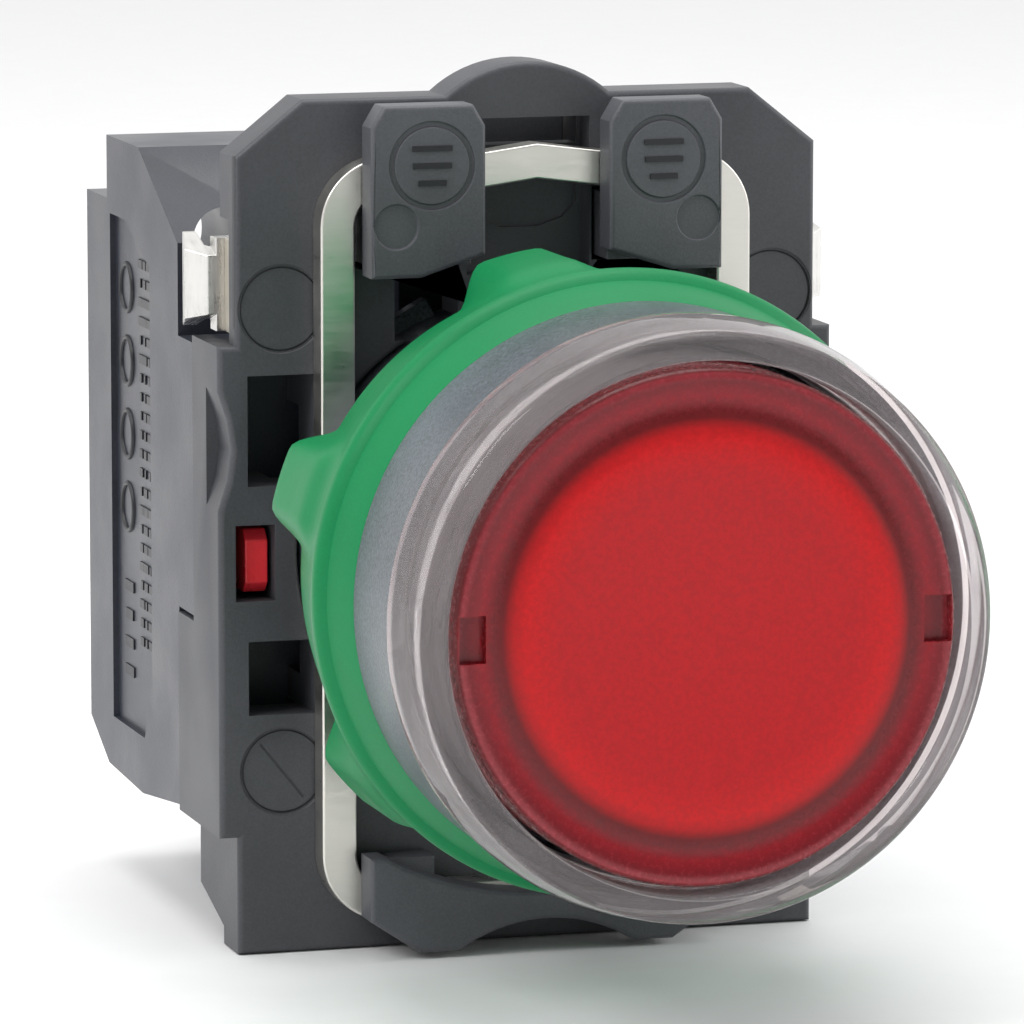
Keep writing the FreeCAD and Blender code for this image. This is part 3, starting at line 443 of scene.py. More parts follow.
@dataclass(frozen=True)
class LensPlastic:
    """Translucent red lens: a softly edged disc inside a frosted rim, with painted light banded into its red:
    a painted highlight ring near the disc's edge, painted shade over the groove, a painted sheen band and a
    painted highlight line on the rim, and the rim darker partly from its frosting and partly from painted
    shade.
    """

    name: str
    # radius in mm and colour: the bright band at 8.4 is a painted highlight, the dark band from 9.35 to 9.7
    # is painted shade over the groove, the band at 10.3 is painted sheen, the pink line at 11.25 is a painted
    # highlight, and the dark outer side is painted shade
    stops: tuple[tuple[float, Colour], ...] = (
        (0.0, (0.46, 0.006, 0.009)), (6.8, (0.46, 0.005, 0.008)), (8.4, (0.54, 0.003, 0.005)),
        (8.9, (0.42, 0.002, 0.004)), (9.35, (0.14, 0.001, 0.003)), (9.7, (0.15, 0.001, 0.004)),
        (10.3, (0.27, 0.001, 0.008)), (10.9, (0.17, 0.001, 0.006)), (11.25, (0.30, 0.03, 0.04)),
        (11.4, (0.12, 0.003, 0.006)), (12.0, (0.10, 0.003, 0.005)))
    disc_r: float = 9.5

    def material(self) -> bpy.types.Material:
        """Build the lens, its colour banded by distance from the button's axis, the bands holding painted
        highlights and painted shade.

        Returns:
            The finished material.
        """
        graph = Graph(self.name, Subsurface_Weight=0.25, Subsurface_Radius=(1.0, 0.08, 0.05),
                      Subsurface_Scale=0.9 * MM, Coat_Roughness=0.12, Specular_IOR_Level=0.3)
        reach = self.stops[-1][0]
        away = graph.away()
        frost = graph.noise(4.0, 4.0, 0.65)
        outer = away.ramp(self.disc_r - 0.4, self.disc_r + 0.3)
        wander = away * (1 / reach) + frost * 0.008 - 0.004
        # colour bands by radius, with painted highlights and painted shade
        bands = graph.bands(wander, [(place / reach, colour) for place, colour in self.stops])
        dull = graph.add("ShaderNodeVectorMath", {"operation": "SCALE"}, bands, Scale=0.82).outputs[0]
        graph.give("Base Color", graph.blend(frost.ramp(0.35, 0.65), dull, bands))
        graph.give("Roughness", frost.ramp(*NOISE_SPAN, 0.36, 0.46) - outer * 0.16)
        graph.give("Coat Weight", outer * 0.15)
        graph.relief(frost * 0.005 + frost * outer * 0.012, 1.0)
        return graph.material


Finish = Moulded | Plated | ClearPlastic | LensPlastic
FINISHES: dict[str, Finish] = {
    "collar_grey": CollarPlastic("collar_plastic", (0.053, 0.055, 0.062), roughness=0.46),
    "pad_grey": Moulded("pad_plastic", (0.070, 0.073, 0.082), roughness=0.45),
    "block_grey": Moulded("block_plastic", (0.026, 0.029, 0.040), roughness=0.36, grain=7.0,
                          spread=0.3),
    "mark_dark": Moulded("moulded_mark", (0.008, 0.009, 0.012), roughness=0.4),
    "bezel_grey": Moulded("bezel_satin", (0.085, 0.095, 0.113), roughness=0.32, grain=7.0,
                          depth=0.016, spread=0.55, speckle=0.75),
    "gasket_green": Moulded("gasket_rubber", (0.003, 0.195, 0.062), roughness=0.4, grain=6.0,
                            depth=0.004, spread=0.07, specular=0.2),
    "guard_clear": ClearPlastic("guard_clear"),
    "lens_red": LensPlastic("lens_red"),
    "diffuser_white": Moulded("opal_diffuser", (0.78, 0.77, 0.74), roughness=0.5, spread=0.04),
    "carrier_white": Moulded("carrier_ivory", (0.60, 0.60, 0.57), roughness=0.42, spread=0.06),
    "bush_black": Moulded("bush_black", (0.022, 0.022, 0.024), roughness=0.4),
    "ribbon_nickel": Plated("ribbon_nickel", (0.76, 0.74, 0.69), roughness=0.32,
                            streak=(0.4, 0.4, 3.0), spread=0.05),
    "screw_nickel": Plated("clamp_nickel", (0.76, 0.75, 0.72), roughness=0.28),
    "contact_brass": Plated("silvered_brass", (0.66, 0.61, 0.52), roughness=0.3),
    "spring_steel": Plated("spring_wire", (0.62, 0.62, 0.61), roughness=0.3, streak=(2.0, 2.0, 2.0)),
    "plunger_red": Moulded("plunger_red", (0.80, 0.028, 0.042), roughness=0.3, depth=0.004,
                           spread=0.08, coat=0.3),
    "plunger_green": Moulded("plunger_green", (0.02, 0.30, 0.09), roughness=0.3, depth=0.004,
                             spread=0.08, coat=0.3),
    "lamp_red": Moulded("lamp_red", (0.55, 0.02, 0.02), roughness=0.15, depth=0.001, spread=0.05,
                        coat=0.8),
    "board_green": Moulded("board_green", (0.015, 0.14, 0.055), roughness=0.4, spread=0.2),
    "resistor_tan": Moulded("resistor_tan", (0.52, 0.38, 0.20), roughness=0.4, spread=0.1),
    "floor_pale": Moulded("studio_floor", (0.86, 0.86, 0.865), roughness=0.6, grain=0.5, depth=0.002,
                          spread=0.01),
}
MADE: dict[str, bpy.types.Material] = {}


def finish_of(name: str) -> bpy.types.Material:
    """The material of a named finish, made once.

    Args:
        name: Name of the finish.

    Returns:
        The material.
    """
    if name not in MADE:
        MADE[name] = FINISHES[name].material()
    return MADE[name]


# ---------------------------------------------------------------- mesh tools
def new_piece(name: str, mesh: bpy.types.Mesh, finish: str) -> bpy.types.Object:
    """Put a mesh in the scene as a piece with one finish.

    Args:
        name: The piece's name.
        mesh: Its mesh.
        finish: Name of the finish.

    Returns:
        The piece.
    """
    piece = bpy.data.objects.new(name, mesh)
    bpy.context.scene.collection.objects.link(piece)
    mesh.materials.clear()
    mesh.materials.append(finish_of(finish))
    piece["finish"] = finish
    return piece


def settle(piece: bpy.types.Object, body: str, *stands_for: str) -> bpy.types.Object:
    """Turn a piece's modifiers into plain mesh, then ride it on a body.

    Args:
        piece: The piece.
        body: The CAD body that it moves with.
        stands_for: CAD nodes that it replaces.

    Returns:
        The piece.
    """
    if piece.modifiers:
        make_plain(piece)
    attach(piece, body)
    if stands_for:
        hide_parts(*stands_for)
    LOG.info("%s: %d faces on %s", piece.name, len(piece.data.polygons), body)
    return piece


def round_corners(profile: Sequence[Point], radii: dict[int, float], steps: int = 6) -> list[Point]:
    """Replace chosen corners of a closed outline with arcs.

    Args:
        profile: Corners as (radius, station).
        radii: Corner number to arc radius.
        steps: Points on each arc.

    Returns:
        The rounded outline.
    """
    out: list[Point] = []
    for number, corner in enumerate(profile):
        if number not in radii:
            out.append(corner)
            continue
        here = Vector(corner)
        back = (Vector(profile[number - 1]) - here).normalized()
        ahead = (Vector(profile[(number + 1) % len(profile)]) - here).normalized()
        half = back.angle(ahead) / 2
        reach = radii[number] / math.tan(half)
        centre = here + (back + ahead).normalized() * (radii[number] / math.sin(half))
        first, last = here + back * reach - centre, here + ahead * reach - centre
        turn = first.angle_signed(last)
        for step in range(steps + 1):
            spot = first.copy()
            spot.rotate(Matrix.Rotation(-turn * step / steps, 2))
            out.append(tuple(centre + spot))
    return out


def lathe(name: str, outline: Sequence[Point], segments: int = 160,
          swell: Callable[[int, float], float] | None = None) -> bpy.types.Mesh:
    """Turn a closed (radius, station) outline in millimetres about the button's axis.

    Args:
        name: Mesh name.
        outline: The outline; points on the axis close to poles.
        segments: Divisions round the axis.
        swell: Extra radius in millimetres, from an outline point's number and an angle in radians.

    Returns:
        The mesh, in metres, with outward faces.
    """
    work = bmesh.new()
    rings = []
    for number, (radius, station) in enumerate(outline):
        ring = []
        for k in range(segments if radius > 1e-6 else 1):
            angle = 2 * math.pi * k / segments
            reach = (radius + (swell(number, angle) if swell else 0.0)) * MM
            spot = (reach * math.cos(angle), station * MM, reach * math.sin(angle))
            ring.append(work.verts.new(spot))
        rings.append(ring)
    for ring, after in zip(rings, rings[1:] + rings[:1]):
        if len(ring) == len(after) == 1:
            continue
        for k in range(segments):
            corners = [ring[k % len(ring)], ring[(k + 1) % len(ring)],
                       after[(k + 1) % len(after)], after[k % len(after)]]
            work.faces.new(list(dict.fromkeys(corners)))
    bmesh.ops.recalc_face_normals(work, faces=work.faces)
    mesh = bpy.data.meshes.new(name)
    work.to_mesh(mesh)
    work.free()
    smooth(mesh)
    return mesh


def smooth(mesh: bpy.types.Mesh) -> None:
    """Shade smooth, with sharp edges kept crisp."""
    mesh.shade_smooth()
    mesh.set_sharp_from_angle(angle=math.radians(CRISP_DEG))


def make_plain(piece: bpy.types.Object) -> None:
    """Turn a piece's modifiers into plain mesh.

    Args:
        piece: The piece, which keeps its name and loses its modifiers.
    """
    graph = bpy.context.evaluated_depsgraph_get()
    mesh = bpy.data.meshes.new_from_object(piece.evaluated_get(graph), depsgraph=graph)
    piece.modifiers.clear()
    piece.data = mesh


def skin(node: str, finish: str, edge_mm: float = 0.0, name: str | None = None) -> bpy.types.Object:
    """Stand a smooth, edge-softened copy in for a CAD node.

    Args:
        node: The CAD node.
        finish: Name of the finish.
        edge_mm: Width of the softened edges.
        name: The piece's name, if not the node's with "_skin".

    Returns:
        The piece, riding on the node's body.
    """
    source = frame["nodes"][node]
    work = bmesh.new()
    work.from_mesh(source.data)
    bmesh.ops.remove_doubles(work, verts=work.verts, dist=MERGE_M)
    bmesh.ops.dissolve_limit(work, angle_limit=math.radians(FLAT_DEG), verts=work.verts, edges=work.edges)
    mesh = bpy.data.meshes.new(node + "_skin")
    work.to_mesh(mesh)
    work.free()
    smooth(mesh)
    piece = new_piece(name or node + "_skin", mesh, finish)
    if edge_mm:
        bevel = piece.modifiers.new("soft_edges", "BEVEL")
        bevel.width, bevel.segments, bevel.limit_method = edge_mm * MM, 3, "ANGLE"
        bevel.angle_limit = math.radians(BEVEL_DEG)
        bevel.use_clamp_overlap, bevel.harden_normals = True, True
    return settle(piece, source["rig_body"], node)


def carve(piece: bpy.types.Object, boxes: Sequence[tuple[Place, Place]]) -> None:
    """Cut boxes out of a piece.

    Args:
        piece: The piece.
        boxes: Low and high corners in millimetres.
    """
    work = bmesh.new()
    for low, high in boxes:
        made = bmesh.ops.create_cube(work, size=1.0)["verts"]
        for vert in made:
            vert.co = Vector([MM * (lo if c < 0 else hi) for c, lo, hi in zip(vert.co, low, high)])
    mesh = bpy.data.meshes.new("cutter")
    work.to_mesh(mesh)
    work.free()
    cutter = bpy.data.objects.new("cutter", mesh)
    bpy.context.scene.collection.objects.link(cutter)
    cut = piece.modifiers.new("carve", "BOOLEAN")
    cut.object, cut.operation, cut.solver = cutter, "DIFFERENCE", "EXACT"
    make_plain(piece)
    bpy.data.objects.remove(cutter)
    smooth(piece.data)


# ---------------------------------------------------------------- geometry-node recipes
class Recipe:
    """A Geometry Nodes tree with named inputs, ended by Realize Instances and Set Material."""

    def __init__(self, name: str, **sizes: float) -> None:
        """Start a tree.

        Args:
            name: The tree's name.
            sizes: Named number inputs and their defaults, in metres or counts.
        """
        self.tree = bpy.data.node_groups.new(name, "GeometryNodeTree")
        face = self.tree.interface
        face.new_socket("Geometry", in_out="OUTPUT", socket_type="NodeSocketGeometry")
        self.sockets: dict[str, str] = {}
        for label, default in sizes.items():
            kind = "NodeSocketInt" if isinstance(default, int) else "NodeSocketFloat"
            socket = face.new_socket(label, in_out="INPUT", socket_type=kind)
            socket.default_value = default
            self.sockets[label] = socket.identifier
        self.inputs = self.tree.nodes.new("NodeGroupInput")

    def size(self, label: str) -> bpy.types.NodeSocket:
        """The socket of a named input."""
        return self.inputs.outputs[label]

    def feed(self, socket: bpy.types.NodeSocket, value: object) -> None:
        """Link a socket to a socket, or set its fixed value.

        Args:
            socket: The socket to feed.
            value: A socket or a fixed value.
        """
        if isinstance(value, bpy.types.NodeSocket):
            self.tree.links.new(value, socket)
        else:
            socket.default_value = value

    def add(self, kind: str, settings: dict[str, object] | None = None, **values: object) -> bpy.types.Node:
        """Add a node.

        Args:
            kind: The node's type.
            settings: The node's own settings, set first.
            values: Values or links by socket name, with spaces as underscores.

        Returns:
            The node.
        """
        node = self.tree.nodes.new(kind)
        for label, setting in (settings or {}).items():
            setattr(node, label, setting)
        for label, value in values.items():
            self.feed(node.inputs[label.replace("_", " ")], value)
        return node

    def math(self, operation: str, first: "bpy.types.NodeSocket | float",
             second: "bpy.types.NodeSocket | float") -> bpy.types.NodeSocket:
        """Add one Math node.

        Args:
            operation: The node's operation.
            first: A number or a link.
            second: A number or a link.

        Returns:
            The result's socket.
        """
        node = self.add("ShaderNodeMath", {"operation": operation})
        for socket, value in zip(node.inputs, (first, second)):
            self.feed(socket, value)
        return node.outputs[0]

    def move(self, shape: bpy.types.Node, height: "bpy.types.NodeSocket | float") -> bpy.types.Node:
        """Add a node that lifts a shape along +Z."""
        lift = self.add("ShaderNodeCombineXYZ", Z=height)
        return self.add("GeometryNodeTransform", Geometry=shape.outputs[0], Translation=lift.outputs[0])

    def circle(self, radius: bpy.types.NodeSocket, points: int) -> bpy.types.Node:
        """Add a circle curve in the XY plane."""
        return self.add("GeometryNodeCurvePrimitiveCircle", {"mode": "RADIUS"}, Resolution=points,
                        Radius=radius)

    def tube(self, path: bpy.types.Node, section: bpy.types.Node, capped: bool) -> bpy.types.Node:
        """Add a tube of one section along a path, with or without end caps."""
        return self.add("GeometryNodeCurveToMesh", Curve=path.outputs[0], Profile_Curve=section.outputs[0],
                        Fill_Caps=capped)

    def join(self, *parts: bpy.types.Node) -> bpy.types.NodeSocket:
        """Join several geometries.

        Args:
            parts: Nodes whose first output is a geometry.

        Returns:
            The joined geometry's socket.
        """
        node = self.tree.nodes.new("GeometryNodeJoinGeometry")
        for part in parts:
            self.tree.links.new(part.outputs[0], node.inputs[0])
        return node.outputs[0]

    def close(self, result: bpy.types.NodeSocket, finish: str) -> None:
        """End the tree with Realize Instances and Set Material.

        Args:
            result: The finished geometry.
            finish: Name of its finish.
        """
        real = self.add("GeometryNodeRealizeInstances", Geometry=result)
        shade = self.add("GeometryNodeSetMaterial", Geometry=real.outputs[0], Material=finish_of(finish))
        output = self.tree.nodes.new("NodeGroupOutput")
        self.tree.links.new(shade.outputs[0], output.inputs[0])

    def make(self, name: str, finish: str, place: Matrix, **sizes: float) -> bpy.types.Object:
        """Run the tree once and keep the result as a plain mesh.

        Args:
            name: The piece's name.
            finish: Name of the finish.
            place: Where the result goes, applied to the mesh.
            sizes: Values for the named inputs.

        Returns:
            The piece, at the origin, with its place in its mesh.
        """
        piece = new_piece(name, bpy.data.meshes.new(name), finish)
        modifier = piece.modifiers.new(name, "NODES")
        modifier.node_group = self.tree
        for label, value in sizes.items():
            modifier[self.sockets[label]] = value
        make_plain(piece)
        piece.data.transform(place)
        smooth(piece.data)
        return piece


def coil_recipe() -> Recipe:
    """A compression spring along +Z from the origin.

    Returns:
        The recipe, with named radius, wire, turns and length.
    """
    tree = Recipe("coil", Radius=0.009, Wire=0.0004, Turns=5.0, Length=0.01)
    spiral = tree.add("GeometryNodeCurveSpiral", Resolution=40, Rotations=tree.size("Turns"),
                      Start_Radius=tree.size("Radius"), End_Radius=tree.size("Radius"),
                      Height=tree.size("Length"))
    wire = tree.circle(tree.size("Wire"), 14)
    tree.close(tree.tube(spiral, wire, True).outputs[0], "spring_steel")
    return tree


def screw_recipe() -> Recipe:
    """A slotted cheese-head screw along +Z: tip at the origin, threaded shank, head and slot.

    Returns:
        The recipe, with named shank, head and slot sizes.
    """
    run_out, core_share, crest_share = 0.0004, 0.9, 0.09
    tree = Recipe("cheese_head_screw", Shank=0.0017, Under=0.003, Head=0.0023, Height=0.0019,
                  Slot=0.0007, Depth=0.0008, Pitch=0.0006)
    under, head_r, height = tree.size("Under"), tree.size("Head"), tree.size("Height")
    core = tree.math("MULTIPLY", tree.size("Shank"), core_share)
    shank = tree.add("GeometryNodeMeshCylinder", Vertices=40, Radius=core, Depth=under)
    shank = tree.move(shank, tree.math("MULTIPLY", under, 0.5))
    threaded = tree.math("SUBTRACT", under, 2 * run_out)
    helix = tree.add("GeometryNodeCurveSpiral", Resolution=28, Start_Radius=core, End_Radius=core,
                     Rotations=tree.math("DIVIDE", threaded, tree.size("Pitch")), Height=threaded)
    crest = tree.circle(tree.math("MULTIPLY", tree.size("Shank"), crest_share), 4)
    thread = tree.move(tree.tube(helix, crest, True), run_out)
    head = tree.add("GeometryNodeMeshCylinder", Vertices=64, Radius=head_r, Depth=height)
    head = tree.move(head, tree.math("ADD", under, tree.math("MULTIPLY", height, 0.5)))
    bar = tree.add("ShaderNodeCombineXYZ", X=tree.math("MULTIPLY", head_r, 3.0), Y=tree.size("Slot"),
                   Z=tree.math("MULTIPLY", tree.size("Depth"), 2.0))
    slot = tree.add("GeometryNodeMeshCube", Size=bar.outputs[0])
    slot = tree.move(slot, tree.math("ADD", under, height))
    slotted = tree.add("GeometryNodeMeshBoolean", {"operation": "DIFFERENCE"}, Mesh_1=head.outputs[0],
                       Mesh_2=slot.outputs[0])
    tree.close(tree.join(shank, thread, slotted), "screw_nickel")
    return tree


def add_dashes(tree: Recipe, points: bpy.types.Node, shortest: float) -> None:
    """Stand a raised dash of uneven length on each point, and end the tree.

    Args:
        tree: A recipe with inputs Length, Width, Height and Seed.
        points: The node that makes the points.
        shortest: The shortest dash's share of the full length.
    """
    low, high = 2, 3
    cube = tree.add("GeometryNodeMeshCube")
    uneven = tree.add("FunctionNodeRandomValue", {"data_type": "FLOAT"}, Seed=tree.size("Seed"))
    uneven.inputs[low].default_value, uneven.inputs[high].default_value = shortest, 1.0
    length = tree.math("MULTIPLY", tree.size("Length"), uneven.outputs[1])
    scale = tree.add("ShaderNodeCombineXYZ", X=length, Y=tree.size("Width"), Z=tree.size("Height"))
    dashes = tree.add("GeometryNodeInstanceOnPoints", Points=points.outputs[0], Instance=cube.outputs[0],
                      Scale=scale.outputs[0])
    tree.close(dashes.outputs[0], "mark_dark")


def dash_recipe() -> Recipe:
    """A row of plain raised dashes along +X, with a fixed seed.

    Returns:
        The recipe, with named count, step and dash sizes.
    """
    tree = Recipe("dash_row", Count=12, Step=0.001, Length=0.0006, Width=0.0004, Height=0.0001, Seed=1)
    offset = tree.add("ShaderNodeCombineXYZ", X=tree.size("Step"))
    line = tree.add("GeometryNodeMeshLine", Count=tree.size("Count"), Offset=offset.outputs[0])
    add_dashes(tree, line, 0.55)
    return tree


def dash_field_recipe() -> Recipe:
    """A field of plain raised dashes in the XY plane, with a fixed seed.

    Returns:
        The recipe, with named counts, spans and dash sizes.
    """
    tree = Recipe("dash_field", Across=3, Down=10, Span=0.002, Drop=0.01, Length=0.0006, Width=0.0004,
                  Height=0.0001, Seed=3)
    grid = tree.add("GeometryNodeMeshGrid", Size_X=tree.size("Span"), Size_Y=tree.size("Drop"),
                    Vertices_X=tree.size("Across"), Vertices_Y=tree.size("Down"))
    add_dashes(tree, tree.add("GeometryNodeMeshToPoints", Mesh=grid.outputs[0]), 0.2)
    return tree


def ring_recipe() -> Recipe:
    """A plain raised ring lying in the XY plane.

    Returns:
        The recipe, with named radius and wire.
    """
    tree = Recipe("moulded_ring", Radius=0.001, Wire=0.0001)
    path = tree.circle(tree.size("Radius"), 40)
    wire = tree.circle(tree.size("Wire"), 8)
    tree.close(tree.tube(path, wire, False).outputs[0], "mark_dark")
    return tree


class Repeated(Enum):
    """The shapes that recipes make."""

    COIL = "coil"
    SCREW = "screw"
    DASHES = "dashes"
    DASH_FIELD = "dash_field"
    RING = "ring"


BUILDERS: dict[Repeated, Callable[[], Recipe]] = {
    Repeated.COIL: coil_recipe, Repeated.SCREW: screw_recipe, Repeated.DASHES: dash_recipe,
    Repeated.DASH_FIELD: dash_field_recipe, Repeated.RING: ring_recipe}
RECIPES: dict[Repeated, Recipe] = {}


def recipe_for(shape: Repeated) -> Recipe:
    """The recipe of a repeated shape, built once.

    Args:
        shape: The shape.

    Returns:
        Its recipe.
    """
    if shape not in RECIPES:
        RECIPES[shape] = BUILDERS[shape]()
    return RECIPES[shape]


def along_y(x: float, y: float, z: float) -> Matrix:
    """Place a shape made along +Z so that it runs along +Y from a point in millimetres."""
    return Matrix.Translation(Vector((x, y, z)) * MM) @ Matrix.Rotation(math.radians(-90), 4, "X")


def facing_front(x: float, y: float, z: float) -> Matrix:
    """Place a shape made in the XY plane so that it faces -Y at a point in millimetres."""
    return Matrix.Translation(Vector((x, y, z)) * MM) @ Matrix.Rotation(math.radians(90), 4, "X")


@dataclass(frozen=True)
class Coil:
    """A compression spring along +Y, in millimetres."""

    start: float
    length: float
    radius: float
    wire: float
    turns: float
    travel: float = 4.0

    def make(self, name: str, x: float) -> bpy.types.Object:
        """Make the coil.

        Args:
            name: The piece's name.
            x: Where its axis stands across the button.

        Returns:
            The piece, not yet on a body.
        """
        return recipe_for(Repeated.COIL).make(
            name, "spring_steel", along_y(x, self.start + self.wire, 0), Radius=self.radius * MM,
            Wire=self.wire * MM, Turns=self.turns, Length=(self.length - 2 * self.wire) * MM)

    def kept(self) -> float:
        """Share of its length that is left when it is fully pressed."""
        return (self.length - self.travel) / self.length

    def end(self) -> Place:
        """Its far end, in metres."""
        return (0, (self.start + self.length) * MM, 0)


@dataclass(frozen=True)
class Screw:
    """A slotted cheese-head screw, in millimetres."""

    shank: float
    under: float
    head: float
    height: float

    def make(self, name: str, tip: Place) -> bpy.types.Object:
        """Make the screw along +Y.

        Args:
            name: The piece's name.
            tip: Where its tip is.

        Returns:
            The piece, not yet on a body.
        """
        return recipe_for(Repeated.SCREW).make(
            name, "screw_nickel", along_y(*tip), Shank=self.shank * MM, Under=self.under * MM,
            Head=self.head * MM, Height=self.height * MM)


# ---------------------------------------------------------------- sub-assemblies
@dataclass
class Head:
    """Bezel, gasket, clear guard and red lens, with the carrier and spring behind them.

    Outlines are (radius, station) in millimetres.
    """

    guard: list[Point] = field(default_factory=lambda: [
        (11.82, -14.65), (12.66, -14.65), (12.66, -16.84), (13.5, -16.84), (13.5, -18.0), (13.05, -21.1),
        (11.82, -21.1)])
    guard_rounding: dict[int, float] = field(default_factory=lambda: {5: 0.5, 6: 0.35, 3: 0.1})
    lens: list[Point] = field(default_factory=lambda: [
        (0, -20.62), (2.5, -20.66), (5.0, -20.79), (7.0, -20.94), (7.8, -20.97), (8.35, -20.95), (8.7, -20.9),
        (9.0, -20.81), (9.25, -20.7), (9.5, -20.61), (9.75, -20.57), (10.05, -20.57), (10.4, -20.62),
        (10.75, -20.7), (11.0, -20.75), (11.2, -20.75), (11.36, -20.68), (11.46, -20.55), (11.5, -20.35),
        (11.5, -16.5), (10.3, -16.5), (10.3, -19.5), (0, -19.5)])
    key_inner: float = 10.05
    key_outer: float = 11.3
    key_half: float = 1.05
    key_front: float = -22.0
    key_floor: float = -20.1
    gasket: list[Point] = field(default_factory=lambda: [
        (11.05, 0), (12.45, 0), (12.72, -0.06), (12.9, -0.28), (13.0, -0.6), (13.12, -1.2), (13.3, -2.0),
        (13.5, -3.0), (13.7, -4.0), (13.88, -4.9), (13.95, -5.3), (14.03, -5.7), (14.12, -6.1), (14.22, -6.6),
        (14.33, -7.15), (14.42, -7.6), (14.45, -7.85), (14.4, -8.15), (14.22, -8.42), (13.95, -8.62),
        (13.6, -9.6), (13.3, -10.5), (13.25, -10.6), (13.25, -9.9), (11.9, -9.9), (11.9, -3.0),
        (11.05, -3.0)])
    lug_lift: list[float] = field(default_factory=lambda: [
        0, 0.62, 0.83, 0.95, 1, 1, 1, 1, 1, 1, 0.97, 0.86, 0.62, 0.3, 0.08])
    lug_r: float = 14.7
    lug_top_half: float = 1.35
    lug_foot_half: float = 3.3
    lug_turn: float = 42.0
    lug_count: int = 6
    spring: Coil = Coil(start=-15.2, length=10.2, radius=9.1, wire=0.45, turns=5.0)

    def build(self) -> None:
        """Make the head's shaped pieces, and smooth skins for the plain ones."""
        skin("bezel", "bezel_grey", 0.12)
        self.make_gasket()
        self.make_guard()
        self.make_lens()
        self.make_spring()
        skin("lens_carrier", "carrier_white", 0.1)
        skin("diffuser", "diffuser_white")
        skin("guide_bush", "bush_black")
        skin("retaining_ring", "bush_black")

    def make_gasket(self) -> None:
        """The green gasket: a flared ring with six rounded lugs round its back."""
        spacing = 360 // self.lug_count

        def swell(number: int, angle: float) -> float:
            """How far a lug lifts the ring.

            Args:
                number: The outline point's number.
                angle: Where round the axis, in radians.

            Returns:
                Extra radius in millimetres.
            """
            if number >= len(self.lug_lift):
                return 0.0
            off = (math.degrees(angle) - self.lug_turn + spacing / 2) % spacing - spacing / 2
            along = abs(math.radians(off)) * self.lug_r
            fade = (self.lug_foot_half - along) / (self.lug_foot_half - self.lug_top_half)
            fade = min(1.0, max(0.0, fade))
            lift = self.lug_r - self.gasket[number][0]
            return lift * self.lug_lift[number] * fade * fade * (3 - 2 * fade)

        mesh = lathe("gasket_ring", self.gasket, 300, swell)
        settle(new_piece("gasket_ring", mesh, "gasket_green"), "base", "panel_gasket")

    def make_guard(self) -> None:
        """The clear guard ring, with a rounded front rim."""
        mesh = lathe("guard_shell", round_corners(self.guard, self.guard_rounding), 192)
        settle(new_piece("guard_shell", mesh, "guard_clear"), "base", "guard_ring")

    def make_lens(self) -> None:
        """The red lens cap with its groove and two key slots."""
        piece = new_piece("lens_shell", lathe("lens_shell", self.lens, 192), "lens_red")
        slots = []
        for side in Side:
            near, far = sorted((side.value * self.key_inner, side.value * self.key_outer))
            slots.append(((near, self.key_front, -self.key_half), (far, self.key_floor, self.key_half)))
        carve(piece, slots)
        settle(piece, "button", "lens_cap")

    def make_spring(self) -> None:
        """The return spring, a fixed coil riding on the base."""
        piece = self.spring.make("return_coil", 0)
        settle(piece, "base", "return_spring")
        self.spring.end()
        self.spring.kept()
        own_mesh(piece)


@dataclass
class FixingCollar:
    """The dark collar, its metal ribbon, the three pads and the clamping screw, in millimetres."""

    screw: Screw = Screw(shank=1.5, under=3.6, head=2.2, height=1.6)
    screw_tip: Place = (0.0, 11.9, 17.6)
    pad_y: float = 3.3
    emblem_x: float = 5.6
    emblem_z: float = 18.1
    bar_length: float = 2.7
    bars: tuple[Point, ...] = ((0.8, 0.75), (0.0, 1.0), (-0.8, 0.75))
    step_marks: Place = (-1.9, 6.6, 12.05)

    def build(self) -> None:
        """Make the collar's pieces."""
        skin("fixing_collar", "collar_grey", 0.12)
        skin("clamp_ribbon", "ribbon_nickel", 0.12)
        skin("pressure_pad_left", "pad_grey", 0.1)
        skin("pressure_pad_right", "pad_grey", 0.1)
        skin("lower_pad", "pad_grey", 0.1)
        skin("pressure_bridge", "pad_grey", 0.15)
        skin("clamp_nut", "contact_brass", 0.1)
        settle(self.screw.make("clamp_screw_turned", self.screw_tip), "clamp_screw", "clamp_screw")
        self.make_pad_bars()
        self.make_step_marks()

    def make_pad_bars(self) -> None:
        """Three plain bars moulded on each upper pad, the middle one longest."""
        for side in Side:
            for row, (rise, share) in enumerate(self.bars):
                place = facing_front(side.value * self.emblem_x, self.pad_y, self.emblem_z + rise)
                piece = recipe_for(Repeated.DASHES).make(
                    f"pad_bar_{side.name.lower()}_{row}", "pad_grey", place, Count=1,
                    Length=self.bar_length * share * MM, Width=0.26 * MM, Height=0.16 * MM, Seed=row)
                settle(piece, "clamp")

    def make_step_marks(self) -> None:
        """A row of small raised blocks on the collar's face above the head."""
        settle(recipe_for(Repeated.DASHES).make(
            "collar_step_marks", "collar_grey", facing_front(*self.step_marks), Count=5, Step=0.95 * MM,
            Length=0.7 * MM, Width=0.55 * MM, Height=0.3 * MM, Seed=7), "base")


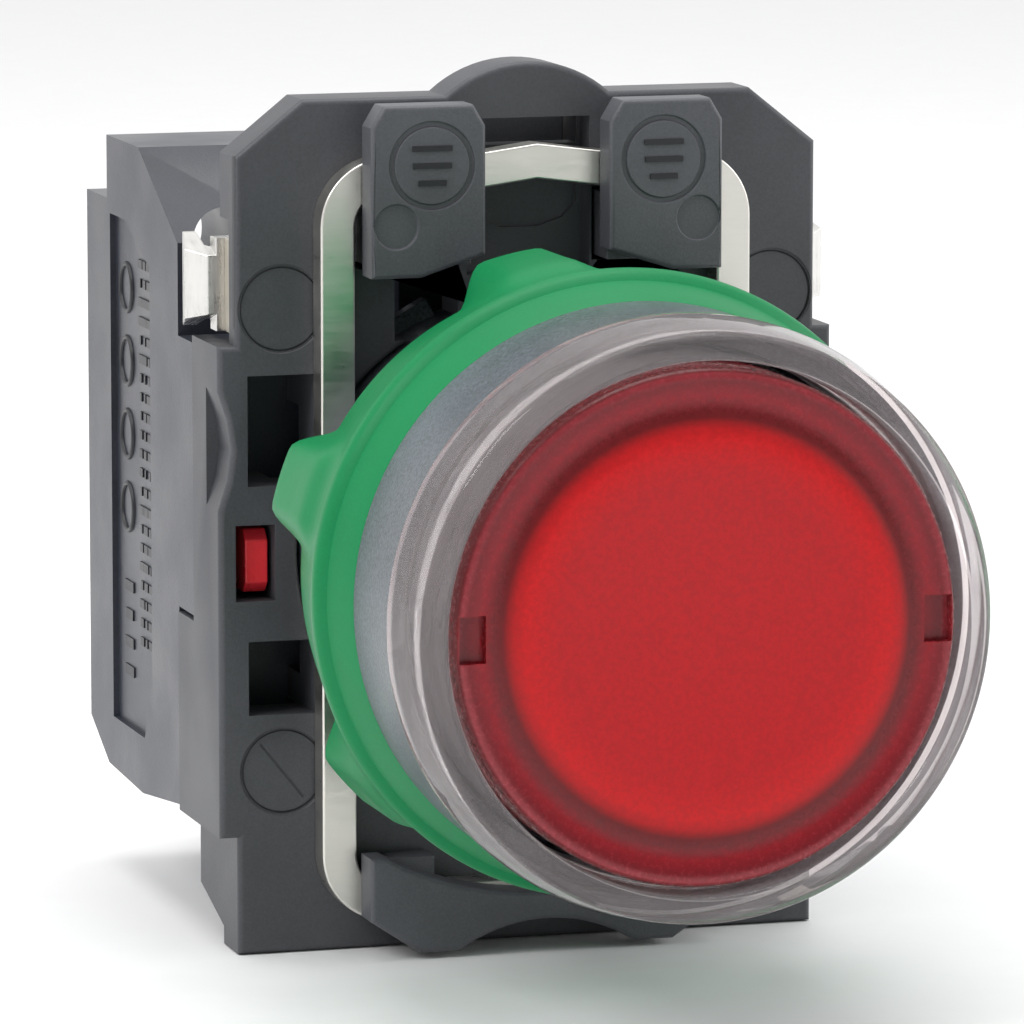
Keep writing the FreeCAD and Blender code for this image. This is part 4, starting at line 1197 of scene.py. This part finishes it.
@dataclass
class SwitchBlock:
    """One contact block or the light block, in millimetres."""

    station: Station
    side: Side = Side.LEFT
    spring: Coil = Coil(start=22.6, length=9.1, radius=1.75, wire=0.25, turns=6.0)
    spring_x: float = 9.1
    screw_shank: float = 1.72
    screw_head: float = 1.9
    label_x: float = -14.62
    dashes_y: float = 22.2
    dashes_z: float = 2.4
    rings_y: float = 25.9
    rings_z: tuple[float, ...] = (10.2, 6.6, 3.0, -0.6)
    bars_shift: float = 0.2
    bars_z: float = -6.6

    def build(self) -> None:
        """Make the block's pieces."""
        tag = self.station.value
        skin(f"{tag}_housing", "block_grey", 0.15)
        skin(f"{tag}_cover", "block_grey", 0.1)
        for level in ("upper", "lower"):
            skin(f"{tag}_terminal_{level}", "contact_brass", 0.06)
            skin(f"{tag}_clamp_{level}", "screw_nickel", 0.1)
            self.make_screw(level)
        if self.station is Station.LIGHT:
            skin("led_board", "board_green")
            skin("led_lamp", "lamp_red")
            skin("led_resistor", "resistor_tan")
            return
        skin(f"{tag}_plunger", "plunger_red" if self.station is Station.BREAK else "plunger_green", 0.08)
        skin(f"{tag}_bridge", "contact_brass", 0.08)
        self.make_coil()
        if self.station is Station.BREAK:
            self.make_label()

    def make_screw(self, level: str) -> None:
        """One slotted terminal screw, sized from the space of its CAD node.

        Args:
            level: Upper or lower.
        """
        node = f"{self.station.value}_screw_{level}"
        low, high = (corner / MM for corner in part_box(node))
        under = high.y - low.y - self.screw_head
        screw = Screw(self.screw_shank, under, (high.x - low.x) / 2, self.screw_head)
        tip = ((low.x + high.x) / 2, low.y, (low.z + high.z) / 2)
        settle(screw.make(f"{node}_turned", tip), node, node)

    def make_coil(self) -> None:
        """The block's own spring, a fixed coil riding on the base."""
        tag = self.station.value
        piece = self.spring.make(f"{tag}_coil", self.side.value * self.spring_x)
        settle(piece, "base", f"{tag}_spring")
        self.spring.end()
        self.spring.kept()
        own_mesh(piece)

    def make_label(self) -> None:
        """Plain dashes, rings and bars on the outer side's inset panel."""
        outwards = Matrix(((0, 0, -1, 0), (1, 0, 0, 0), (0, -1, 0, 0), (0, 0, 0, 1)))

        def spot(depth: float, height: float) -> Matrix:
            """A place on the panel, in millimetres, facing out of it."""
            return Matrix.Translation(Vector((self.label_x, depth, height)) * MM) @ outwards

        settle(recipe_for(Repeated.DASH_FIELD).make(
            "label_dashes", "mark_dark", spot(self.dashes_y, self.dashes_z), Across=3, Down=21, Span=1.7 * MM,
            Drop=18.5 * MM, Length=0.95 * MM, Width=0.42 * MM, Height=0.12 * MM), "base")
        for number, height in enumerate(self.rings_z):
            settle(recipe_for(Repeated.RING).make(
                f"label_ring_{number}", "mark_dark", spot(self.rings_y, height), Radius=1.15 * MM,
                Wire=0.13 * MM), "base")
        settle(recipe_for(Repeated.DASH_FIELD).make(
            "label_bars", "mark_dark", spot(self.rings_y - self.bars_shift, self.bars_z), Across=1, Down=4,
            Span=1.0 * MM, Drop=4.2 * MM, Length=1.9 * MM, Width=0.5 * MM, Height=0.12 * MM), "base")


@dataclass(frozen=True)
class SoftLight:
    """One square soft light aimed at the button: place and side in millimetres, power in watts."""

    name: str
    spot: Place
    side: float
    power: float

    def hang(self) -> None:
        """Put the light in the scene."""
        light = bpy.data.lights.new(self.name, "AREA")
        light.size, light.energy = self.side * MM, self.power
        lamp = bpy.data.objects.new(self.name, light)
        bpy.context.scene.collection.objects.link(lamp)
        lamp.location = Vector(self.spot) * MM
        lamp.rotation_euler = (-Vector(self.spot)).to_track_quat("-Z", "Y").to_euler()


@dataclass
class Studio:
    """Pale floor, soft lights and the camera, in millimetres."""

    target: Place = (-1.88, 2.93, 1.87)
    eye: Place = (-100.79, -329.14, 53.74)
    lens: float = 264.9
    sensor: float = 36.0
    floor_z: float = -19.2
    floor_half: float = 3000.0
    front_dim: tuple[float, float, float, float] = (-0.9, -0.1, 0.5, 1.0)
    lights: tuple[SoftLight, ...] = (
        SoftLight("key", (-340, -120, 340), 200, 0.9), SoftLight("fill", (380, -60, 160), 240, 0.5),
        SoftLight("top", (0, 30, 420), 300, 1.0))

    def build(self) -> None:
        """Make the floor, the lights and the camera."""
        self.make_floor()
        self.make_sky()
        for light in self.lights:
            light.hang()
        self.make_camera()

    def make_floor(self) -> None:
        """A wide plain floor under the blocks."""
        half = self.floor_half * MM
        mesh = bpy.data.meshes.new("studio_floor")
        mesh.from_pydata([(-half, -half, 0), (half, -half, 0), (half, half, 0), (-half, half, 0)], [],
                         [(0, 1, 2, 3)])
        mesh.transform(Matrix.Translation((0, 0, self.floor_z * MM)))
        new_piece("studio_floor", mesh, "floor_pale")

    def make_sky(self) -> None:
        """White light from all round, dimmer from the front."""
        world = bpy.data.worlds.new("studio")
        bpy.context.scene.world = world
        world.use_nodes = True
        nodes, links = world.node_tree.nodes, world.node_tree.links
        split, dim = nodes.new("ShaderNodeSeparateXYZ"), nodes.new("ShaderNodeMapRange")
        links.new(nodes.new("ShaderNodeTexCoord").outputs["Generated"], split.inputs[0])
        links.new(split.outputs["Y"], dim.inputs["Value"])
        for label, value in zip(("From Min", "From Max", "To Min", "To Max"), self.front_dim):
            dim.inputs[label].default_value = value
        links.new(dim.outputs[0], nodes["Background"].inputs["Strength"])
        nodes["Background"].inputs["Color"].default_value = (1, 1, 1, 1)

    def make_camera(self) -> None:
        """The camera, in front of the button, to its left and a little above."""
        camera = bpy.data.objects.new("camera", bpy.data.cameras.new("camera"))
        bpy.context.scene.collection.objects.link(camera)
        camera.data.lens, camera.data.sensor_width = self.lens, self.sensor
        camera.data.clip_start, camera.data.clip_end = 0.01, 20.0
        camera.location = Vector(self.eye) * MM
        camera.rotation_euler = (Vector(self.target) - Vector(self.eye)).to_track_quat("-Z", "Y").to_euler()
        bpy.context.scene.camera = camera
        bpy.context.scene.view_settings.view_transform = "Standard"


def main() -> None:
    """Build the button's pieces in order and note the sizes."""
    logging.basicConfig(level=logging.INFO, format="%(message)s")
    Studio().build()
    Head().build()
    FixingCollar().build()
    for station, side in ((Station.BREAK, Side.LEFT), (Station.MAKE, Side.RIGHT), (Station.LIGHT, Side.LEFT)):
        SwitchBlock(station, side).build()


if __name__ == "__main__":
    main()
